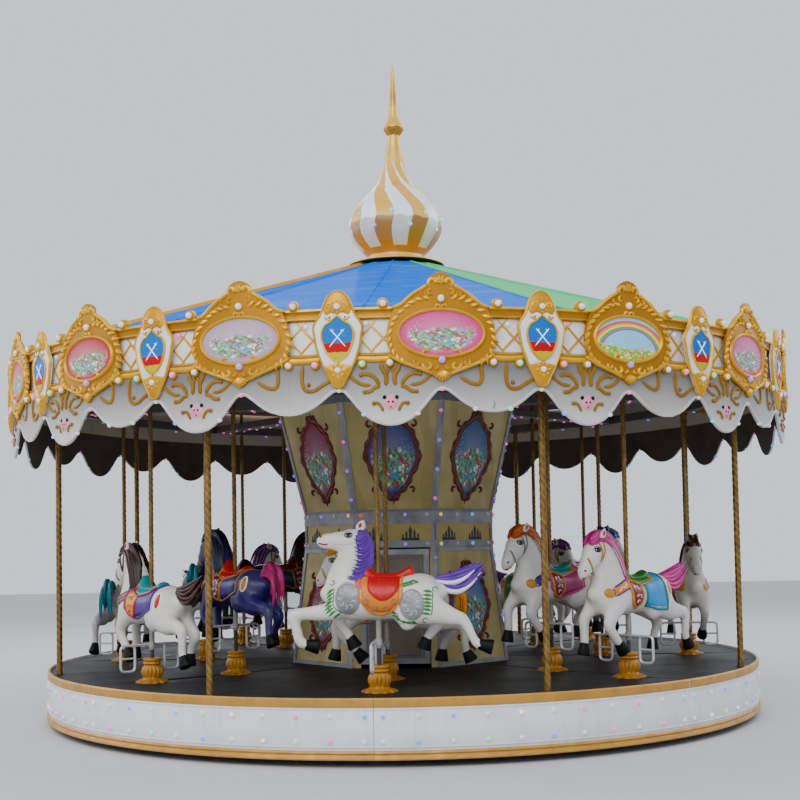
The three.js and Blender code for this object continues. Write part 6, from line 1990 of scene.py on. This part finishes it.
def curled_tail(style, up):
    """Thick locks that arch up from the rump and curl down behind it."""
    shape = Shape()
    t = np.linspace(0, 1, 11)
    for i in range(13):
        lane = i / 12 - 0.5
        layer = 0.03 * math.cos(2.3 * i)
        reach = 1.0 + 0.18 * math.sin(1.9 * i)
        path = np.stack(
            [0.38 + 0.17 * reach * np.sin(math.pi * t * 0.62), layer * (0.5 + t) + 0.02 * lane,
             0.475 + up + 0.07 * np.sin(math.pi * t) * (1 + lane)
             - 0.19 * reach * t ** 1.7 + 0.03 * lane], -1)
        wide = 0.021 * np.sin(math.pi * (0.25 + 0.72 * t)) ** 0.8
        tone = style.tail * (0.8 + 0.35 * (i * 3 % 5) / 5)
        shape.merge(tube(path, wide, sides=6, reference=ACROSS, slot=HAIR_SLOT, tint=tone))
    return shape


def draped(left, right, reach, proud, tint, skirt, rows=11, columns=29):
    """A padded cloth over the back between two stations, down to an angle on each side that its
    skirt may change along the cloth; the edges are rolled down into the skin."""
    across = np.linspace(left, right, rows)
    share = np.linspace(-1, 1, columns)
    turn = (reach * skirt((across - left) / (right - left)))[:, None] * share
    sides = np.minimum(1, (1 - np.abs(share)) * 9)
    ends = np.minimum(1, np.minimum(np.arange(rows), np.arange(rows)[::-1]))[:, None]
    lift = -0.004 + (proud + 0.004) * np.sqrt(np.minimum(sides, ends))
    top = np.stack([np.repeat(across[:, None], columns, 1), lift, turn], -1)
    low = top.copy()
    low[..., 1] = -0.01
    return closed_sheet(top, low, TACK_SLOT, tint)


HEM_POINTS, END_POINTS, CORD_SIDES = 19, 7, 5
BACK_RADIUS = 0.15


def bordered(left, right, reach, proud, tint, skirt, width=0.008):
    """A rolled cord along the edge of a cloth over the back, on both sides."""
    shape = Shape()
    share = np.linspace(0, 1, HEM_POINTS)
    across = left + (right - left) * share
    rim = reach * skirt(share)
    for side in (1, -1):
        down = np.linspace(0, 1, END_POINTS)
        path = np.concatenate([
            np.stack([np.full_like(down, left), side * rim[0] * down], -1),
            np.stack([across, side * rim], -1)[1:-1],
            np.stack([np.full_like(down, right), side * rim[-1] * down[::-1]], -1)])
        along = np.gradient(path, axis=0) * [1.0, BACK_RADIUS]
        along /= np.maximum(np.linalg.norm(along, axis=1, keepdims=True), 1e-9)
        turn = np.linspace(0, math.pi, CORD_SIDES)
        normal = np.stack([-along[:, 1], along[:, 0] / BACK_RADIUS], -1)
        ring = path[:, None] + width * np.cos(turn)[None, :, None] * normal[:, None]
        lift = proud - 0.004 + width * np.sin(turn)[None] + 0 * ring[..., 0]
        lift[:, [0, -1]] = -0.004
        section = np.stack([ring[..., 0], lift, ring[..., 1]], -1)
        shape.add(section, grid(len(path), CORD_SIDES, loop_columns=True), TACK_SLOT, tint)
    return shape


def straight_skirt(share):
    """A cloth edge that hangs equally low all along."""
    return np.ones_like(share)


def rounded_skirt(share):
    """A cloth edge that hangs lowest in its middle, by the sine of its length."""
    return 0.62 + 0.38 * np.sin(math.pi * np.clip(share, 0, 1)) ** 0.8


def pointed_skirt(share):
    """A cloth edge that comes to a point two thirds of the way back."""
    return 0.72 + 0.28 * np.interp(share, [0.0, 0.35, 1.0], [0.0, 1.0, 0.0])


SEAT_ROWS, SEAT_COLUMNS = 17, 11


def saddle(mould, style, place):
    """A moulded seat with a raised cantle and pommel, and its short flaps."""
    shape = Shape()
    is_front = mould is REACHING
    if is_front:
        shape.merge(draped(-0.075, 0.16, 1.75, 0.018, style.saddle, rounded_skirt), place)
    else:
        shape.merge(draped(-0.085, 0.17, 0.98, 0.018, style.saddle, pointed_skirt), place)
        shape.merge(bordered(-0.085, 0.17, 0.98, 0.016, style.badge_rim, pointed_skirt), place)
    rows = np.linspace(-0.08, 0.245 if is_front else 0.195, SEAT_ROWS)
    tip = 0.036 if is_front else 0.014
    rise = (0.026 * np.exp(-((rows + 0.058) / 0.022) ** 2) + 0.018
            + tip * np.clip((rows - rows[-1] + 0.115) / 0.1, 0, 1) ** 1.6)
    fade = np.clip((rows[-1] + 0.004 - rows) / 0.015, 0.15, 1)
    fade *= np.clip((rows + 0.088) / 0.012, 0.15, 1)
    share = np.linspace(-1, 1, SEAT_COLUMNS)
    height = rise[:, None] * fade[:, None] * np.sqrt(np.clip(1 - share ** 2, 0, 1))[None]
    half_turn = 0.5 - 0.22 * np.clip((rows - 0.1) / 0.12, 0, 1)
    top = np.stack([np.repeat(rows[:, None], SEAT_COLUMNS, 1), 0.012 + height,
                    half_turn[:, None] * share[None]], -1)
    low = top.copy()
    low[..., 1] = -0.006
    return shape.merge(closed_sheet(top, low, TACK_SLOT, style.saddle), place)


LEAFY_STEMS = (
    ([(-0.285, 0.44), (-0.292, 0.37), (-0.286, 0.315), (-0.235, 0.27)], 205, 0.058, 8),
    ([(0.18, 0.44), (0.225, 0.452), (0.285, 0.47)], 160, 0.05, 5),
    ([(0.375, 0.405), (0.37, 0.35), (0.372, 0.3), (0.362, 0.25)], 158, 0.055, 7),
    ([(0.135, 0.262), (0.155, 0.222), (0.215, 0.196), (0.27, 0.196)], 150, 0.036, 6))


def first_horse_marks(mould):
    """The front horse's own marks: slanting leaves, embossed medallions and a small flower."""
    shape = Shape()
    green = rgb("0a8c34")
    for side in (-1, 1):
        place = on_flank(mould, side)
        for centre, size in (((-0.194, 0.368), (0.08, 0.103)), ((0.235, 0.322), (0.078, 0.098))):
            ring = circle((0.0, 0.0), 1.0, 36) * size + centre
            shape.gather([
                disc(ring, 0.005, centre, (1.0, 0.9, 0.8, 0.5, 0.0), SILVER_SLOT, crown=0.006,
                     back=-0.012),
                stroke(ring, 0.006, 0.008, closed=True, slot=SILVER_SLOT)], place)
            for i in range(9):
                at = math.radians(40 * i + 12)
                path = curl((centre[0] + 0.55 * size[0] * math.cos(at),
                             centre[1] + 0.55 * size[1] * math.sin(at)),
                            40 * i, 230, 0.006, 0.022, 9)
                # Painted highlight: the raised curls are tinted lighter than the medallion's plate.
                shape.merge(stroke(
                    path, 0.0065, 0.01, 0.004, slot=SILVER_SLOT, tint=(1.9, 1.9, 1.9)), place)
        for path, lean, size, count in LEAFY_STEMS:
            line = smooth_curve(path, 40)
            shape.merge(stroke(line, 0.004, 0.003, tint=green), place)
            shape.gather([leaf(at, lean, size * 1.35, 0.0135, 0.004, 0.0, green)
                          for at in line[np.linspace(1, 38, count).astype(int)]], place)
        shape.gather([
            stroke(curl(centre, turn, 300, 0.006, 0.024, 14), 0.004, 0.003, tint=green)
            for centre, turn in (((-0.3, 0.478), 200), ((0.385, 0.418), -20), ((0.32, 0.212), 20))],
                     place)
        for i in range(5):
            at = math.radians(72 * i)
            petal = (-0.118 + 0.02 * math.cos(at), 0.462 + 0.02 * math.sin(at))
            shape.merge(button(petal, 0.0135, 12, 0.004, rgb("e8449a"), 0.004, -0.008), place)
        shape.merge(button((-0.118, 0.462), 0.009, 12, 0.01, rgb("f0b53a"), 0.003, -0.004), place)
    return shape


def badge(mould, style, side):
    """A shield that hangs from the saddle on the flank, with a rim and painted squiggles."""
    centre = (-0.062, 0.378 + mould.up)
    outline = outline_of(
        [(0.0, 0.095), (0.05, 0.098), (0.066, 0.08), (0.062, 0.0), (0.046, -0.065), (0.0, -0.1)],
        36) + centre
    place = on_flank(mould, side)
    shape = Shape()
    shape.merge(disc(outline, 0.012, centre, (1.0, 0.8, 0.4, 0.0), TACK_SLOT, style.badge,
                     crown=0.004, back=-0.012), place)
    shape.merge(stroke(
        outline, 0.009, 0.012, 0.006, closed=True, tint=style.badge_rim, slot=TACK_SLOT), place)
    for i, (x, z) in enumerate(
            ((-0.022, 0.045), (0.022, 0.045), (-0.012, 0.0), (0.016, -0.012), (0.0, -0.055))):
        path = curl((centre[0] + x, centre[1] + z), 90 * i, 250, 0.005, 0.018, 9)
        shape.merge(stroke(path, 0.0042, 0.003, 0.014, tint=style.mark, slot=TACK_SLOT), place)
    return shape


def breast_band(mould, style):
    """A band round the chest with a border on each edge and a wavy painted line."""
    up = mould.up
    shape = Shape()
    line = smooth_curve(
        [(-0.29, 0.4 + up), (-0.235, 0.422 + up), (-0.17, 0.445 + up), (-0.105, 0.462 + up)], 14)
    wave = line + np.stack([0 * line[:, 0], 0.009 * np.sin(np.arange(len(line)) * 1.55)], -1)
    for side in (1, -1):
        place = on_flank(mould, side)
        shape.merge(stroke(line, 0.032, 0.008, tint=style.band, slot=TACK_SLOT, sides=7), place)
        for offset in (0.031, -0.031):
            shape.merge(stroke(
                line + [0.0, offset], 0.0055, 0.011, tint=style.band_rim, slot=TACK_SLOT), place)
        end = np.linspace((-0.291, 0.369 + up), (-0.291, 0.431 + up), 6)
        shape.merge(stroke(end, 0.0055, 0.011, tint=style.band_rim, slot=TACK_SLOT), place)
        shape.merge(
            stroke(wave[2:-2], 0.0035, 0.003, 0.009, tint=style.mark, slot=TACK_SLOT), place)
    return shape


HEMS = {"round": (-0.118, 0.168, 2.35, rounded_skirt),
        "pointed": (-0.15, 0.225, 2.25, pointed_skirt),
        "straight": (0.055, 0.265, 2.15, straight_skirt)}


def horse(mould, style):
    """A whole painted horse in its own frame."""
    shape = Shape()
    points, faces = mould.skin
    shape.add(points, faces, BODY_SLOT, style.body)
    for side, _, ankle, toe in mould.legs:
        shape.merge(hoof(ankle, toe, side))
    shape.merge(head_details(mould, style))
    shape.merge(mane(mould, style))
    tail = flowing_tail if style.tail_kind == "flowing" else curled_tail
    shape.merge(tail(style, mould.up))
    place = on_back(mould)
    left, right, reach, skirt = HEMS[style.hem]
    shape.merge(draped(left, right, reach, 0.009, style.cloth, skirt), place)
    shape.merge(bordered(left, right, reach, 0.009, style.cloth_rim, skirt), place)
    shape.merge(saddle(mould, style, place))
    if mould is REACHING:
        shape.merge(first_horse_marks(mould))
        for side in (1, -1):
            flank = on_flank(mould, side)
            for i, (x, z, turn) in enumerate(
                    ((-0.072, 0.352, 200), (-0.01, 0.304, 170), (0.062, 0.304, 10),
                     (0.118, 0.352, -20))):
                path = curl((x, z), turn, 330 if i < 2 else -330, 0.005, 0.027, 16)
                shape.merge(
                    stroke(path, 0.0042, 0.005, 0.01, tint=rgb("6d7478"), slot=TACK_SLOT), flank)
    else:
        shape.merge(breast_band(mould, style))
        for side in (1, -1):
            shape.merge(badge(mould, style, side))
            flank = on_flank(mould, side)
            shape.merge(button((-0.322, 0.458), 0.033, 24, 0.006, style.badge_rim, 0.006, -0.012,
                               TACK_SLOT), flank)
            hip_at = (0.315, 0.475)
            hip = circle((0.0, 0.0), 1.0, 24) * [0.028, 0.055] + hip_at
            shape.merge(disc(hip, 0.005, hip_at, slot=TACK_SLOT, tint=style.badge_rim, crown=0.004,
                             back=-0.012), flank)
            shape.merge(
                stroke(hip, 0.005, 0.007, closed=True, tint=rgb("f2efe8"), slot=TACK_SLOT), flank)
    return shape


def dress(**colours):
    """A horse's colours: what is left out comes from a white horse, the tail from the mane."""
    style = dict(
        body="f4f2ee", mane="5a2f96", saddle="b80d14", cloth="d0780f", cloth_rim="d0780f",
        badge="780c18", badge_rim="b8801c", band="d87a10", band_rim="54288c", mark="dfe6ea",
        bridle="a8741c", streaks="ffffff")
    options = dict(tail_kind="curled", white_locks=False, hem="straight")
    for key, value in colours.items():
        (options if key in options else style)[key] = value
    style.setdefault("tail", style["mane"])
    return SimpleNamespace(**{key: rgb(value) for key, value in style.items()}, **options)


OUTER_DRESS = [
    dress(tail_kind="flowing", white_locks=True, hem="round"),
    dress(mane="c02c86", tail_kind="flowing", saddle="1a6e22", cloth="2488cc", cloth_rim="14707a"),
    dress(body="cfcdc9", mane="4a1812", saddle="a82070", cloth="b83088", cloth_rim="c85098",
          band="1f8a8a", streaks="a07060"),
    dress(mane="1a6aa0", saddle="a01818", cloth="2a8a44", cloth_rim="d09a20", hem="pointed"),
    dress(body="f0e6d4", mane="9c420f", saddle="0f559c", cloth="cc8a18"),
    dress(mane="68207c", saddle="107a54", cloth="b02068", cloth_rim="dca820", tail_kind="flowing",
          hem="pointed"),
    dress(body="cfcfd2", mane="141d34", tail="106a7a", saddle="860f14", cloth="28388c"),
    dress(mane="2e1610", tail="381a12", tail_kind="flowing", saddle="0f8486", cloth="42227e",
          cloth_rim="42227e", badge="d8820f", badge_rim="b80c10", mark="6a1010", bridle="381a12",
          band="c42a78", band_rim="1c8a38", hem="pointed", streaks="3a2018")]
INNER_DRESS = [
    dress(body="d9d6d0", mane="b87808", tail="cc8008", saddle="0f8486", cloth="1f7a7a"),
    dress(body="ecebe8", mane="b84e0c", saddle="0a7478", cloth="941c60", cloth_rim="b02c74",
          band="42207a", band_rim="42207a", bridle="77777a", hem="pointed"),
    dress(body="5b5654", mane="1b3a5a", saddle="641818", cloth="34397a"),
    dress(mane="742488", saddle="b84e0c", cloth="188652", tail_kind="flowing"),
    dress(body="d8d2c6", mane="261812", saddle="1c489c", cloth="a81c1c"),
    dress(body="101c2c", mane="380c10", saddle="640f0f", cloth="1a2c54", band="640f0f",
          band_rim="101c2c", bridle="1c2f48", hem="pointed", streaks="38181a"),
    dress(body="1a1440", mane="18203a", tail="0f7a86", saddle="961810", cloth="441c64",
          cloth_rim="a87e24", band="281a54", band_rim="a87e24", bridle="a87e24", hem="pointed",
          streaks="404860"),
    dress(body="2c1c74", mane="101830", tail="b02468", saddle="b4180f", cloth="2c1c74",
          cloth_rim="a07824", band="1a1f54", band_rim="a07824", bridle="a07824", hem="pointed",
          streaks="404860")]
HORSE_COATS = [HORSE_PAINT, HORSE_HAIR, HORSE_TACK, SILVER, HOOF_BLACK]
POLE_COATS = [BRASS, TUBE_GREY, ROD_DARK, TUBE_BRIGHT]
for ring_name, ring, lifts, dresses in (
        ("outer", OUTER_RING, OUTER_LIFT, OUTER_DRESS),
        ("inner", INNER_RING, INNER_LIFT, INNER_DRESS)):
    for k in range(SECTORS):
        mould = REACHING if (ring_name, k) == ("outer", 0) else PRANCING
        name = f"{ring_name}_horse_{k + 1}"
        place = in_row(k, ring, HOOF_HEIGHT + lifts[k])
        figure = Shape().merge(horse(mould, dresses[k]), place)
        show(figure.mesh(f"{name}_figure", HORSE_COATS, 60.0), name, "horse_paint", name)
        fittings = pole_and_footrest(mould.belly, mould.back, mould.footrest, mould.drop)
        fittings = Shape().merge(fittings, place)
        show(fittings.mesh(f"{name}_pole", POLE_COATS, 45.0), name, "horse_paint")
